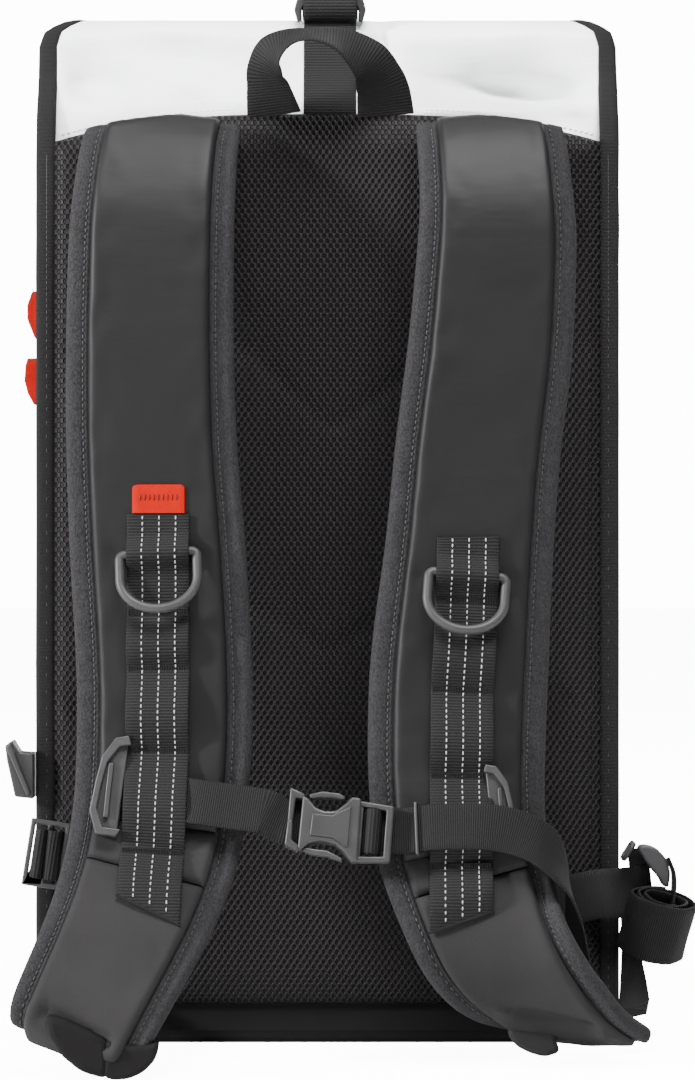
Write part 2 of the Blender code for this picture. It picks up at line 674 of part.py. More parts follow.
def build_strap(side, strap, seam_up, end_stop):
    sweep(f"shoulder_strap_{side}", strap, PAD_PROFILE, "strap_border")
    seam = round(strap.level(seam_up))
    last = len(strap.centres) - 1
    slit = SEAM_SLIT / (strap.centres[seam] - strap.centres[seam + 1]).length
    face = strap_layer(strap, FACE_TOP_INSET, seam - slit / 2, FACE_SHARE, FACE_THICK)
    sweep(f"strap_face_{side}", face, FACE_PROFILE, "strap_face")
    lower = strap_layer(strap, seam + slit / 2, last - end_stop, FACE_SHARE, FACE_THICK)
    sweep(f"strap_end_face_{side}", lower, FACE_PROFILE, "strap_end_face")


def ring_bump(distance):
    """Lift of the daisy chain over the ring bar, by distance along the strap."""
    crest = RING_WIRE + 2 * GAP
    return crest * cos(pi / 2 * distance / RING_BUMP) ** 2 if abs(distance) < RING_BUMP else 0.0


def between(rows, key, column):
    """The value of a column at a key, straight between rows that are sorted by their key."""
    for start, end in zip(rows, rows[1:]):
        if start[0] <= key <= end[0]:
            share = (key - start[0]) / ((end[0] - start[0]) or 1.0)
            return start[column] + (end[column] - start[column]) * share
    return rows[-1][column]


def build_daisy(side, strap, table, ring_up):
    """A webbing ladder that bends where its strap bends and rises over the ring's bar."""
    rows = [(strap.level(up), where, lift) for up, where, lift in smooth(table, DAISY_STEPS)]
    first, last = rows[0][0], rows[-1][0]
    spots = {row[0] for row in rows}
    spots |= {strap.level(ring_up + share * RING_BUMP / PACK_HEIGHT) for share in BUMP_SPOTS}
    spots |= {float(k) for k in range(len(strap.centres)) if first < k < last}
    points, across = [], []
    kept = [first]
    for position in sorted(spots):
        if position - kept[-1] > DAISY_MERGE and last - position > DAISY_MERGE:
            kept.append(position)
    for position in [*kept, last]:
        centre = strap.frame(position)[0]
        lift = max(between(rows, position, 2), 0.0) * DAISY_LIFT
        lift += ring_bump(centre.z - ring_up * PACK_HEIGHT)
        points.append(strap.at(position, between(rows, position, 1) * HALF_WIDTH,
                               DAISY_BASE + lift))
        across.append(strap.frame(position)[1])
    band = Band(points, across, [DAISY_WIDTH] * len(points), [WEB_THICK] * len(points))
    sweep(f"daisy_chain_{side}", band, WEB_PROFILE, "webbing")


def ring_seat(strap, up, where):
    """The ring's bar: its place on the strap face, tilted to hang before the webbing."""
    lift = GAP + FACE_THICK + GAP + RING_WIRE / 2
    seat = strap.seat(strap.level(up), where * HALF_WIDTH, lift)
    return seat @ Matrix.Rotation(-RING_TILT, 4, "X")


def build_ring(side, seat):
    half = (RING_WIDTH - RING_WIRE) / 2
    drop = RING_DROP - RING_WIRE
    corner = RING_CORNER
    inner = corner * (1 - sin(pi / 4))
    shoulder = drop - half * RING_SHOULDER_SHARE
    points = [Vector((-half + corner, 0, 0)), Vector((-half / 3, 0, 0)),
              Vector((half / 3, 0, 0)), Vector((half - corner, 0, 0)),
              Vector((half - inner, 0, -inner)), Vector((half, 0, -corner)),
              Vector((half, 0, -shoulder))]
    for step in range(1, RING_STEPS):
        angle = pi * step / RING_STEPS
        points.append(Vector((half * cos(angle), 0, -shoulder - (drop - shoulder) * sin(angle))))
    points += [Vector((-half, 0, -shoulder)), Vector((-half, 0, -corner)),
               Vector((-half + inner, 0, -inner))]
    tube(f"d_ring_{side}", [seat @ p for p in points], RING_WIRE / 2, "grey_plastic")


def build_tag(strap):
    """A plain tag with rounded upper corners, flat on the left strap above its webbing."""
    points, across = [], []
    for up, _ in TAG_ROWS:
        position = strap.level(up)
        points.append(strap.at(position, TAG_SIDE_SHARE * HALF_WIDTH,
                               FACE_THICK + 2 * GAP + TAG_THICK / 2))
        across.append(strap.frame(position)[1])
    band = Band(points, across, [TAG_WIDTH * share for _, share in TAG_ROWS],
                [TAG_THICK] * len(TAG_ROWS))
    sweep("strap_tag", band, WEB_PROFILE, "tag_rubber")


def build_hook(side, strap, place, mirror):
    """A clip plate: a faceted end beside the daisy chain and a tongue that runs under it."""
    clear = DAISY_WIDTH / 2 + HOOK_CLEAR
    end = -clear - 0.0150
    xs = (end, -clear - 0.0105, -clear, DAISY_WIDTH / 2 + DAISY_CLEAR)
    ys = (-HOOK_THICK, -HOOK_TONGUE, 0.0)
    zs = (-0.0255, -0.0120, 0.0120, 0.0255)

    def solid(i, j, k):
        return i < 2 or (j == 1 and k == 1)

    def shape(point):
        if point.x == end and abs(point.z) == zs[-1]:
            return Vector(((end + HOOK_CORNER) * mirror, point.y * HOOK_CORNER_SHARE, point.z))
        return Vector((point.x * mirror, point.y, point.z))

    up, where = place
    seat = strap.seat(strap.level(up), where * HALF_WIDTH, FACE_THICK + HOOK_LIFT)
    cells(f"sternum_hook_{side}", xs, ys, zs, solid, seat, "grey_plastic", shape)


def sternum_seat():
    """The middle of the fastened buckle: x along the webbing, z up, -y outward."""
    place = Matrix.Translation(spot(*STERNUM_SPOT))
    return (place @ Matrix.Rotation(-STERNUM_TILT, 4, "X")
            @ Matrix.Rotation(STERNUM_DROP, 4, "Y"))


def waist(point):
    """A soft narrowing of a buckle body between its two ends."""
    share = max(0.0, 1 - (point.x / SOCKET_END) ** 2)
    return Vector((point.x, point.y, point.z * (1 - SOCKET_WAIST_SHARE * share)))


def build_buckle():
    """Socket with a pocket and a webbing bar, and a plug whose tongue fills the pocket."""
    seat = sternum_seat()

    def socket(i, j, k):
        if i == 0:
            return j < 2 or k in (0, 4)
        if i == 1:
            return k != 2
        if i == 2:
            return True
        return (j in (0, 3) or k in (0, 4)) and not (i == 4 and k in (0, 4))

    def plug(i, j, k):
        if i == 0:
            return k == 2
        if i == 2:
            return k in (0, 4)
        return i == 1 or j == 0 or k in (0, 4)

    cells("buckle_socket", *SOCKET_CUTS, socket, seat, "grey_plastic", waist)
    cells("buckle_plug", *PLUG_CUTS, plug, seat, "grey_plastic")


def build_sternum():
    """The webs run behind the end bars of the buckle and stop inside its slots."""
    seat = sternum_seat()
    upright = (seat.to_3x3() @ Z_AXIS).normalized()
    behind = BAR_BACK + 1.5 * GAP + WEB_THICK / 2
    webs = {}
    for side, sign, table in (("left", -1, STERNUM_LEFT), ("right", 1, STERNUM_RIGHT)):
        points = [seat @ Vector((sign * x, behind + y, 0)) for x, y in STERNUM_EXIT]
        rows = smooth(table, WEB_STEPS)
        twists = [0] * len(points) + [row[3] for row in rows]
        points += [spot(*row[:3]) for row in rows]
        webs[side] = Band(points, carried(points, upright, twists),
                          [STERNUM_WIDTH] * len(points), [WEB_THICK] * len(points))
        sweep(f"sternum_web_{side}", webs[side], WEB_PROFILE, "webbing")
    centre, across, out, half = webs["right"].frame(KEEPER_STATION)
    reach, stand = half[0] + KEEPER_CLEAR, half[1] + KEEPER_CLEAR
    points = [centre + across * reach * u + out * stand * v
              for u, v in ((-1, -1), (-0.4, -1), (0.4, -1), (1, -1), (1, 1), (0.4, 1),
                           (-0.4, 1), (-1, 1))]
    tube("web_keeper", points, KEEPER_WIRE, "grey_plastic", sides=6)


def build_handle():
    def above_pad(side, rise, reach):
        """A place from its shares, whose rise starts at the pad's top."""
        return spot(side, (PAD_TOP + rise * COLLAR_HEIGHT) / PACK_HEIGHT, reach)

    rows = smooth(HANDLE_EDGES, WEB_STEPS)
    outer = [above_pad(*row[:3]) for row in rows]
    inner = [above_pad(*row[3:]) for row in rows]
    centres = [(a + b) / 2 for a, b in zip(outer, inner)]
    band = Band(centres, [b - a for a, b in zip(outer, inner)],
                [(b - a).length for a, b in zip(outer, inner)], [WEB_THICK] * len(rows))
    sweep("grab_handle", band, WEB_PROFILE, "webbing")


def build_closure_strap():
    """A strap up the back of the collar that stops behind the crest."""
    body = len(SHELL_SECTIONS)
    backs = [s[0] for s in shell_sections()]
    start = backs[body - 3].lerp(backs[body - 2], CLOSURE_START_SHARE)
    points = [start, *backs[body - 2:body + ROLL_STEPS // 6 + 1]]
    last = len(points) - 1
    normals = [(points[min(i + 1, last)] - points[max(i - 1, 0)]).cross(X_AXIS).normalized()
               for i in range(last + 1)]
    lift = GAP + WEB_THICK / 2 + CLOSURE_STAND
    middle = X_AXIS * CLOSURE_SIDE_SHARE * HALF_WIDTH
    centres = [p - n * lift + middle for p, n in zip(points, normals)]
    band = Band(centres, [-X_AXIS] * len(centres), [CLOSURE_WIDTH] * len(centres),
                [WEB_THICK] * len(centres))
    sweep("closure_strap", band, WEB_PROFILE, "webbing")


def build_closure_buckle():
    """A small fastened buckle that lies on the crest of the roll."""
    crest = Vector((CLOSURE_SIDE_SHARE * HALF_WIDTH, -ROLL_LEAN, PACK_HEIGHT + 2 * GAP))
    place = Matrix.Translation(crest)

    def socket(i, j, k):
        if j == 0:
            return 0 < i < 4
        if j == 1:
            return i in (1, 3)
        return 0 < i < 4 and (k != 1 or j == 2)

    def plug(i, j, k):
        if j == 0:
            return 0 < i < 4
        if j == 3:
            return i in (0, 4)
        return True

    cells("closure_socket", *CLOSURE_SOCKET_CUTS, socket, place, "grey_plastic")
    cells("closure_plug", *CLOSURE_PLUG_CUTS, plug, place, "grey_plastic")


def build_closure_front():
    """Webbing from the buckle over the roll and down the front."""
    middle = CLOSURE_SIDE_SHARE * HALF_WIDTH
    points = [Vector((middle, y - ROLL_LEAN, PACK_HEIGHT + z)) for y, z in FRONT_WEB_LEAVES]
    points += [Vector((middle, y * HALF_DEPTH, z * PACK_HEIGHT)) for y, z in FRONT_WEB_RUNS]
    width = CLOSURE_WIDTH * CLOSURE_FRONT_SHARE
    band = Band(points, [X_AXIS] * len(points), [width] * len(points),
                [WEB_THICK] * len(points))
    sweep("closure_front_web", band, WEB_PROFILE, "webbing")


def build_slider(name, place, wide, tall):
    """A frame with two slots either side of a middle bar."""
    xs = (-wide / 2, -wide / 2 + SLIDER_BAR, -SLIDER_BAR / 2, SLIDER_BAR / 2,
          wide / 2 - SLIDER_BAR, wide / 2)
    zs = (-tall / 2, -tall / 2 + SLIDER_BAR, tall / 2 - SLIDER_BAR, tall / 2)
    cells(name, xs, (-SLIDER_THICK / 2, SLIDER_THICK / 2), zs,
          lambda i, j, k: not (k == 1 and i in (1, 3)), place, "grey_plastic")


def leaning(side, place, lean):
    """The place of a piece of hip hardware, leaning in the plane of the panel."""
    return Matrix.Translation(hip_spot(side, *place)) @ Matrix.Rotation(lean, 4, "Y")


def build_plate(name, side, place, outline, deep):
    """A flat moulded piece: its outline, drawn back from its front by its depth."""
    past, above, reach = place
    rings = [[hip_spot(side, past + x, above + z, front) for x, z in outline]
             for front in (reach, reach - deep)]
    skin(name, rings, "grey_plastic")


def build_left_hardware():
    """A slider whose webbing runs behind one side bar and over the middle one."""
    place = leaning("left", SIDE_SLIDER, SLIDER_LEAN)
    build_slider("side_slider_left", place, SLIDER_WIDE, SLIDER_TALL)
    stand = SLIDER_THICK / 2 + 1.3 * GAP + WEB_THICK / 2
    crest = stand + WEB_SETTLE / 3
    bar, slot = SLIDER_BAR / 2, SLIDER_WIDE / 2 - SLIDER_BAR
    middle = (bar + slot) / 2
    # Columns: distance across the slider and distance behind it, from the web's end.
    woven = ((-slot * 0.72, stand * 0.3), (-middle, -stand * 0.15), (-bar - GAP, -stand),
             (0.0, -crest), (bar + GAP, -stand), (middle, 0.0), (slot - GAP, stand),
             (SLIDER_WIDE / 2, crest))
    points = [place @ Vector((x, y, 0)) for x, y in woven]
    points += [hip_spot("left", *row) for row in smooth(SIDE_WEB_LEFT, WEB_STEPS)]
    up = (place.to_3x3() @ Z_AXIS).normalized()
    band = Band(points, eased(up, Z_AXIS, len(points)), [HIP_WIDTH] * len(points),
                [WEB_THICK] * len(points))
    sweep("side_web_left", band, WEB_PROFILE, "webbing")
    build_plate("side_hook_left", "left", SIDE_HOOK, SIDE_HOOK_OUTLINE, SIDE_HOOK_DEEP)


def build_right_hardware():
    points = [hip_spot("right", *row) for row in smooth(SIDE_WEB_RIGHT, WEB_STEPS)]
    band = Band(points, [Z_AXIS] * len(points), [HIP_WIDTH] * len(points),
                [WEB_THICK] * len(points))
    sweep("side_web_right", band, WEB_PROFILE, "webbing")
    build_plate("side_buckle_right", "right", SIDE_BUCKLE, SIDE_BUCKLE_OUTLINE,
                SIDE_BUCKLE_DEEP)
    place = leaning("right", SIDE_RING, SIDE_RING_LEAN)
    corner = SIDE_RING_WIRE / 2
    deep, tall = SIDE_RING_DEEP / 2, SIDE_RING_TALL / 2
    loop = ((-deep + corner, -tall), (0.0, -tall), (deep - corner, -tall), (deep, -tall + corner),
            (deep, tall - corner), (deep - corner, tall), (0.0, tall), (-deep + corner, tall),
            (-deep, tall - corner), (-deep, -tall + corner))
    tube("side_ring_right", [place @ Vector((0, y, z)) for y, z in loop], corner,
         "grey_plastic", sides=6)


def build_bundle():
    """Spare webbing, wound up and hanging beside the right corner."""
    place = leaning("right", SIDE_BUNDLE, BUNDLE_LEAN) @ Matrix.Rotation(BUNDLE_TIP, 4, "X")
    count = BUNDLE_STEPS * BUNDLE_TURNS
    points = []
    for step in range(count + 1):
        angle = 2 * pi * step / BUNDLE_STEPS
        share = 1 - BUNDLE_SHRINK_SHARE * step / count
        points.append(place @ Vector((BUNDLE_LONG * share * cos(angle),
                                      BUNDLE_DEEP * share * sin(angle), 0)))
    up = (place.to_3x3() @ Z_AXIS).normalized()
    band = Band(points, [up] * len(points), [BUNDLE_TALL] * len(points),
                [WEB_THICK] * len(points))
    sweep("web_roll_right", band, WEB_PROFILE, "webbing")


def build_adjusters():
    """Webbing sewn under each strap's end, from there to the lower corner of the pack."""
    for side, strap, table, end in (("left", LEFT, ADJUSTER_LEFT, X_AXIS),
                                    ("right", RIGHT, ADJUSTER_RIGHT, -Y_AXIS)):
        last = len(strap.centres) - 1
        drop = ADJUSTER_DROP[side] + WEB_THICK / 2
        sewn = [last - ADJUSTER_OVERLAP * share for share in (1.0, 0.5, 0.0)]
        points = [strap.under(position, ADJUSTER_SHIFT[side], drop) for position in sewn]
        across = [strap.frame(position)[1] for position in sewn]
        free = [spot(*row) for row in smooth(table, WEB_STEPS)]
        points += free
        across += eased(across[-1], end, len(free) + 1)[1:]
        band = Band(points, across, [ADJUSTER_WIDTH] * len(points),
                    [WEB_THICK] * len(points))
        sweep(f"adjuster_web_{side}", band, WEB_PROFILE, "webbing")


def build_pull(name, place, row):
    """A soft pull whose outer edge is curved."""
    outermost, curve, ys, zs = row
    middle = (zs[0] + zs[-1]) / 2 + (zs[-1] - zs[0]) / 8

    def shape(point):
        inward = curve * (point.z - middle) ** 2 if point.x < -PULL_CURVED else 0.0
        return Vector((point.x + inward, point.y, point.z))

    cells(name, (-outermost, -PULL_ROOT), ys, zs, lambda i, j, k: True, place, "red_pull", shape)


def build_zip():
    """A zip down the left side with two pulls that show past the edge of the back."""
    place = Matrix.Translation(Vector((-SHELL_SIDE - GAP, ZIP_MIDDLE, 0)))
    cells("side_zip", (-ZIP_THICK, 0), (-ZIP_HALF, ZIP_HALF), (ZIP_LOW, ZIP_HIGH),
          lambda i, j, k: True, place, "black_fabric")
    build_pull("zip_pull_upper", place, PULL_UPPER)
    build_pull("zip_pull_lower", place, PULL_LOWER)


for thing in list(bpy.data.objects):
    bpy.data.objects.remove(thing)
bpy.context.scene.collection.children.link(NODES)

MATERIALS = {
    "white_fabric": make_material("white_fabric", (0.86, 0.87, 0.88), 0.45),
    "black_fabric": make_material("black_fabric", (0.022, 0.021, 0.022), 0.7),
    "mesh_fabric": make_material("mesh_fabric", (0.022, 0.019, 0.020), 0.85),
    "binding_fabric": make_material("binding_fabric", (0.040, 0.041, 0.042), 0.8),
    "strap_border": make_material("strap_border", (0.085, 0.083, 0.080), 0.9),
    "strap_face": make_material("strap_face", (0.045, 0.045, 0.047), 0.45),
    "strap_end_face": make_material("strap_end_face", (0.068, 0.066, 0.066), 0.75),
    "webbing": make_material("webbing", (0.025, 0.025, 0.026), 0.75),
    "grey_plastic": make_material("grey_plastic", (0.060, 0.061, 0.063), 0.4),
    "tag_rubber": make_material("tag_rubber", (1.0, 0.050, 0.002), 0.5),
    "red_pull": make_material("red_pull", (0.85, 0.040, 0.015), 0.5),
}

LEFT = strap_band(STRAP_LEFT)
RIGHT = strap_band(STRAP_RIGHT)

build_shell()
build_boot()
build_pad()
build_binding(-1, "side_binding_left")
build_binding(1, "side_binding_right")
build_strap("left", LEFT, SEAM_SHARE_LEFT, END_FACE_STOP_LEFT)
build_strap("right", RIGHT, SEAM_SHARE_RIGHT, END_FACE_STOP_RIGHT)
build_daisy("left", LEFT, DAISY_LEFT, RING_LEFT[0])
build_daisy("right", RIGHT, DAISY_RIGHT, RING_RIGHT[0])
build_ring("left", ring_seat(LEFT, *RING_LEFT))
build_ring("right", ring_seat(RIGHT, *RING_RIGHT))
build_tag(LEFT)
build_hook("left", LEFT, HOOK_LEFT, 1)
build_hook("right", RIGHT, HOOK_RIGHT, -1)
build_buckle()
build_sternum()
build_handle()
build_closure_strap()
build_closure_buckle()
build_closure_front()
build_left_hardware()
build_right_hardware()
build_bundle()
build_adjusters()
build_zip()
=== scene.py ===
"""Looks of the roll-top backpack: coated fabric, mesh, padding, webbing, thread and plastic."""
from math import cos, exp, pi, radians, sin, sqrt

import bmesh
import bpy
from mathutils import Matrix, Vector, noise


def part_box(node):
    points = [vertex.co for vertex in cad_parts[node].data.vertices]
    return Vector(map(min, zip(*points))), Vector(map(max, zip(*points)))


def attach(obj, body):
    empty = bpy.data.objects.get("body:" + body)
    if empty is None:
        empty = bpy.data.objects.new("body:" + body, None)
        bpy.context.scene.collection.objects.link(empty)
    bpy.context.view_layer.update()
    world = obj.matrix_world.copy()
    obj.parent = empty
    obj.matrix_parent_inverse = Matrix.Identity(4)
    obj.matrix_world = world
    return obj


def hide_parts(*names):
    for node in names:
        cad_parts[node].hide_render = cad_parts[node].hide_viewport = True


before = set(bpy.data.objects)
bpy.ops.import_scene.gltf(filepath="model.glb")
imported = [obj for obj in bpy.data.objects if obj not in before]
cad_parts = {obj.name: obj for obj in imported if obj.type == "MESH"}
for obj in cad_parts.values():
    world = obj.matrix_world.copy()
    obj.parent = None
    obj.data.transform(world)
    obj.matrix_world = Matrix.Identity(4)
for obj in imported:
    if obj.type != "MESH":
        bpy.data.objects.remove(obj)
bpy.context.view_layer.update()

# Sizes read from the frame
PAD_LOW, PAD_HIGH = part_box("back_pad")
HALF_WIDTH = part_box("side_binding_right")[1].x
PACK_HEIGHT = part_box("pack_shell")[1].z
PANEL_Y = PAD_LOW.y
BOOT_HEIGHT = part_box("base_panel")[1].z

# Sizes that the construction shares
HALF_DEPTH = 0.0825
PACK_DEPTH = 2 * HALF_DEPTH
GAP = 0.0003
SHELL_WALL = 0.0012
COLLAR_HALF = 0.0015
SHELL_FLOOR = 0.0018
ROLL_RADIUS = 0.017
ROLL_PITCH = 0.0040
ROLL_TURNS = 2.25
ROLL_LEAN = 0.048
BODY_STEPS = 5
ROLL_STEPS = 24
BOOT_WALL = 0.0015
BOOT_RIM = 0.0006
BINDING_WIDTH = 0.0093
BINDING_THICK = 0.004
BINDING_STAND = 0.0044
BINDING_LAP = 0.0018
SHELL_SIDE = HALF_WIDTH - BINDING_WIDTH - GAP
PAD_TOP_DROP = 0.016
STRAP_WIDTH = 0.094
STRAP_THICK = 0.009
STRAP_REACH = 0.128
FACE_THICK = 0.004
LAYER_GAP = 0.0005
WEB_THICK = 0.0016
WEB_STEP = 0.002
DAISY_WIDTH = 0.0345
DAISY_BASE = FACE_THICK + 0.0010 + WEB_THICK / 2
DAISY_STATIONS = 110
DAISY_PITCH = 0.0033
STERNUM_WIDTH = 0.0255
CLOSURE_WIDTH = 0.0300
CLOSURE_X = 0.008 * HALF_WIDTH
HIP_WIDTH = 0.0280
ADJUSTER_WIDTH = 0.0240
RING_WIRE = 0.0052
RING_WIDTH = 0.0478
RING_DROP = 0.0370
RING_CORNER = 0.003
RING_TILT = radians(15.0)
RING_BUMP = 0.0110
BAR_BACK = 0.0010
ZIP_PITCH = 0.0022

# Soft forms of the bag, in metres: its dents, the ripples of the collar and the crest, where
# the collar's folds start under the panel's top, and the places that stay flat.
BROAD_DENTS = 0.0035
FINE_DENTS = 0.0008
COLLAR_RIPPLE = 0.0016
CREST_RIPPLE = 0.0007
FOLD_START = 0.030
COLLAR_BACK = -0.045
NECK_HEIGHT = 0.560
BACK_FLAT = 0.006
HELD_SIDE = 0.012

# The back panel's grid, its rounded rim and its sewn channels. The cloth simulation holds the
# panel at its rim and where it is sewn.
PAD_GRID = (64, 100)
PAD_ROUND = 0.008
PAD_RIM_SHARE = 0.42
PAD_CROWN_SHARE = 0.50
PAD_HELD_RIM = 0.003
PAD_HELD_SEWN = 0.72
CHANNEL_WIDTH = 0.0045
CHANNEL_DEPTH = 0.0028
SEAM_ALLOWANCE = 0.0035
CLOTH_SETTINGS = {"quality": 5, "vertex_group_mass": "held", "use_pressure": True,
                  "tension_stiffness": 25, "compression_stiffness": 25,
                  "bending_stiffness": 0.4}

# Soft forms of the straps: lumps of the border, creases at the ends and dents beside the rings
BORDER_LUMPS = 0.0009
CREASE_DEPTH = 0.0034
CREASE_FOLD = 0.0022
RING_DENT = 0.0012

# Mesh holes, ripples of the webbing and the form of one stitch, along it and across it
MESH_PITCH = (0.0037, 0.0056)
MESH_HOLE = (0.00105, 0.00145)
RIPPLE_ACROSS = 60
RIPPLE_ALONG = 45
STITCH_FORM = ((-1.0, 0.35), (-0.7, 0.9), (0.0, 1.0), (0.7, 0.9), (1.0, 0.35))

X_AXIS = Vector((1, 0, 0))
Y_AXIS = Vector((0, 1, 0))
Z_AXIS = Vector((0, 0, 1))

# Shell sections below the roll. Columns: back as a share of half depth, back height as a
# share of pack height, front as a share of half depth, front height as a share of pack
# height, side as a share of shell side, back and front corner radius as shares of depth,
# pinch of the side pleat as a share of shell side.
SHELL_SECTIONS = (
    (-0.95, 0.000, 0.94, 0.000, 0.975, 0.03, 0.18, 0.00),
    (-1.00, 0.010, 1.00, 0.010, 1.000, 0.03, 0.22, 0.00),
    (-1.00, 0.040, 1.00, 0.040, 1.000, 0.03, 0.22, 0.00),
    (-1.00, 0.300, 1.06, 0.300, 1.000, 0.03, 0.22, 0.00),
    (-1.00, 0.620, 1.03, 0.620, 1.000, 0.03, 0.22, 0.00),
    (-1.00, 0.760, 0.96, 0.760, 1.000, 0.03, 0.20, 0.02),
    (-1.00, 0.850, 0.74, 0.850, 1.000, 0.03, 0.16, 0.08),
    (-0.99, 0.895, 0.30, 0.893, 1.000, 0.03, 0.10, 0.14),
    (-0.94, 0.920, -0.20, 0.918, 1.000, 0.02, 0.06, 0.08),
    (-0.86, 0.945, -0.745, 0.944, 1.000, 0.015, 0.02, 0.00),
)
BODY_COUNT = BODY_STEPS * (len(SHELL_SECTIONS) - 1) + 1
# Half width of the roll as a share of shell side, by degrees turned.
ROLL_ENDS = ((0, 1.0), (30, 0.984), (60, 0.925), (90, 0.885), (120, 0.875))
# Folds of the collar. Columns: depth, height, tilt, side, and how tall and wide they are, in
# metres apart from the tilt.
COLLAR_FOLDS = (
    (0.0265, 0.5420, 0.10, 0.108, 0.0095, 0.040),
    (-0.0045, 0.5300, -0.05, 0.100, 0.0050, 0.045),
    (0.0060, 0.5250, 0.00, 0.136, 0.0050, 0.018),
    (0.0080, 0.5450, 0.00, -0.142, 0.0100, 0.020),
    (0.0050, 0.5640, 0.20, -0.080, 0.0080, 0.040),
    (0.0100, 0.5700, 0.00, 0.030, 0.0160, 0.007),
)
# Where the bindings turn with the roll as a share of pack height, and how many of its sections
# they follow; how many sections the closure strap covers below the roll and on it.
BINDING_TURN = 0.86
BINDING_TURNED = 9
CLOSURE_ROWS = (14, 5)

# Strap routes. Columns: up as a share of pack height, side as a share of half width,
# reach, width and thickness as shares of strap reach, width and thickness, and twist in
# degrees.
STRAP_LEFT = (
    (0.892, -0.545, 0.022, 0.898, 0.60, 0),
    (0.860, -0.568, 0.130, 0.939, 1.00, 0),
    (0.811, -0.583, 0.235, 0.964, 1.00, 0),
    (0.763, -0.590, 0.270, 0.980, 1.00, 0),
    (0.668, -0.593, 0.295, 0.992, 1.00, 0),
    (0.573, -0.586, 0.308, 1.009, 1.00, 0),
    (0.478, -0.565, 0.333, 1.036, 1.00, 0),
    (0.383, -0.544, 0.367, 1.034, 1.00, 0),
    (0.318, -0.539, 0.400, 1.032, 1.00, 0),
    (0.253, -0.547, 0.458, 1.016, 1.00, 0),
    (0.198, -0.573, 0.542, 0.999, 1.00, 0),
    (0.154, -0.620, 0.640, 0.956, 1.00, 0),
    (0.111, -0.686, 0.750, 0.902, 1.00, 0),
    (0.072, -0.753, 0.850, 0.861, 1.00, 0),
    (0.046, -0.795, 0.890, 0.836, 0.95, 0),
    (0.031, -0.805, 0.840, 0.800, 0.90, 0),
    (0.028, -0.800, 0.740, 0.740, 0.85, 0),
)
STRAP_RIGHT = (
    (0.890, 0.546, 0.022, 0.862, 0.60, 0),
    (0.860, 0.559, 0.130, 0.891, 1.00, 0),
    (0.811, 0.570, 0.235, 0.911, 1.00, 0),
    (0.763, 0.570, 0.270, 0.939, 1.00, 0),
    (0.668, 0.546, 0.295, 0.968, 1.00, 0),
    (0.573, 0.505, 0.308, 0.973, 1.00, 0),
    (0.478, 0.475, 0.333, 0.989, 1.00, 0),
    (0.383, 0.445, 0.367, 1.040, 1.00, 0),
    (0.318, 0.433, 0.400, 1.043, 1.00, 0),
    (0.253, 0.431, 0.458, 1.022, 1.00, 0),
    (0.198, 0.449, 0.525, 0.988, 1.00, 0),
    (0.138, 0.512, 0.615, 0.905, 1.00, 4),
    (0.104, 0.576, 0.640, 0.855, 1.00, 18),
    (0.072, 0.680, 0.610, 0.800, 1.00, 40),
    (0.042, 0.820, 0.500, 0.740, 0.95, 60),
    (0.026, 0.940, 0.380, 0.690, 0.90, 72),
)
STRAP_STEPS = 8
FACE_SHARE = 0.72
SEAM_INSET = 0.0032
# Panels on the straps: where the satin panel ends and where the cuff ends as shares of pack
# height, how many rows the end panel stops short by, and the seed of the puckers.
STRAP_PANELS = {"left": (0.2193, 0.176, 0.30, 3.0), "right": (0.1968, 0.168, 0.15, 11.0)}

# Daisy chains. Columns: up as a share of pack height, side as a share of half width.
DAISY_LEFT = (
    (0.510, -0.557), (0.498, -0.557), (0.424, -0.556), (0.396, -0.556), (0.369, -0.555),
    (0.330, -0.555), (0.291, -0.554), (0.268, -0.556), (0.222, -0.560), (0.198, -0.566),
    (0.172, -0.572), (0.146, -0.576),
)
DAISY_RIGHT = (
    (0.489, 0.467), (0.478, 0.467), (0.404, 0.457), (0.376, 0.451), (0.347, 0.446),
    (0.308, 0.443), (0.271, 0.441), (0.250, 0.440), (0.206, 0.440), (0.186, 0.439),
    (0.162, 0.440), (0.140, 0.440),
)
# Rings: up and side, as above. Clip plates: up, side, which way they face and their size.
RINGS = {"left": (0.474, -0.557), "right": (0.454, 0.465)}
HOOKS = {"left": (0.245, -0.558, 1, 1.0), "right": (0.228, 0.440, -1, 0.84)}
# Loops between the tacks of the daisy chains. Columns: up where the loop starts and ends as
# shares of pack height, and its height in metres.
LOOPS_LEFT = ((0.4200, 0.3685, 0.0044), (0.3685, 0.2906, 0.0062), (0.2906, 0.1988, 0.0072),
              (0.1988, 0.1460, 0.0034))
LOOPS_RIGHT = ((0.4314, 0.3470, 0.0050), (0.3470, 0.2673, 0.0062), (0.2673, 0.1857, 0.0072),
               (0.1857, 0.1400, 0.0038))
DAISY_SLANT = {"left": 0.0080, "right": -0.0055}

# The tag: up as a share of pack height and share of its width down its rounded corners, how
# far it hangs below them and where its ribs are.
TAG_CORNER = ((0.5385, 0.80), (0.5382, 0.86), (0.5375, 0.93), (0.5364, 0.98), (0.5350, 1.0))
TAG_DROP = 0.0235
TAG_RIB_UP = 0.5275
TAG_RIB_PITCH = 0.0025
TAG_WIDTH = 0.029
TAG_THICK = 0.0012

# Creases across the strap ends where they curl under. Columns: side and height in metres of
# one end, then of the other.
CREASES = (
    (-0.1480, 0.0366, -0.1158, 0.0215),
    (0.1050, 0.0300, 0.1420, 0.0215),
)
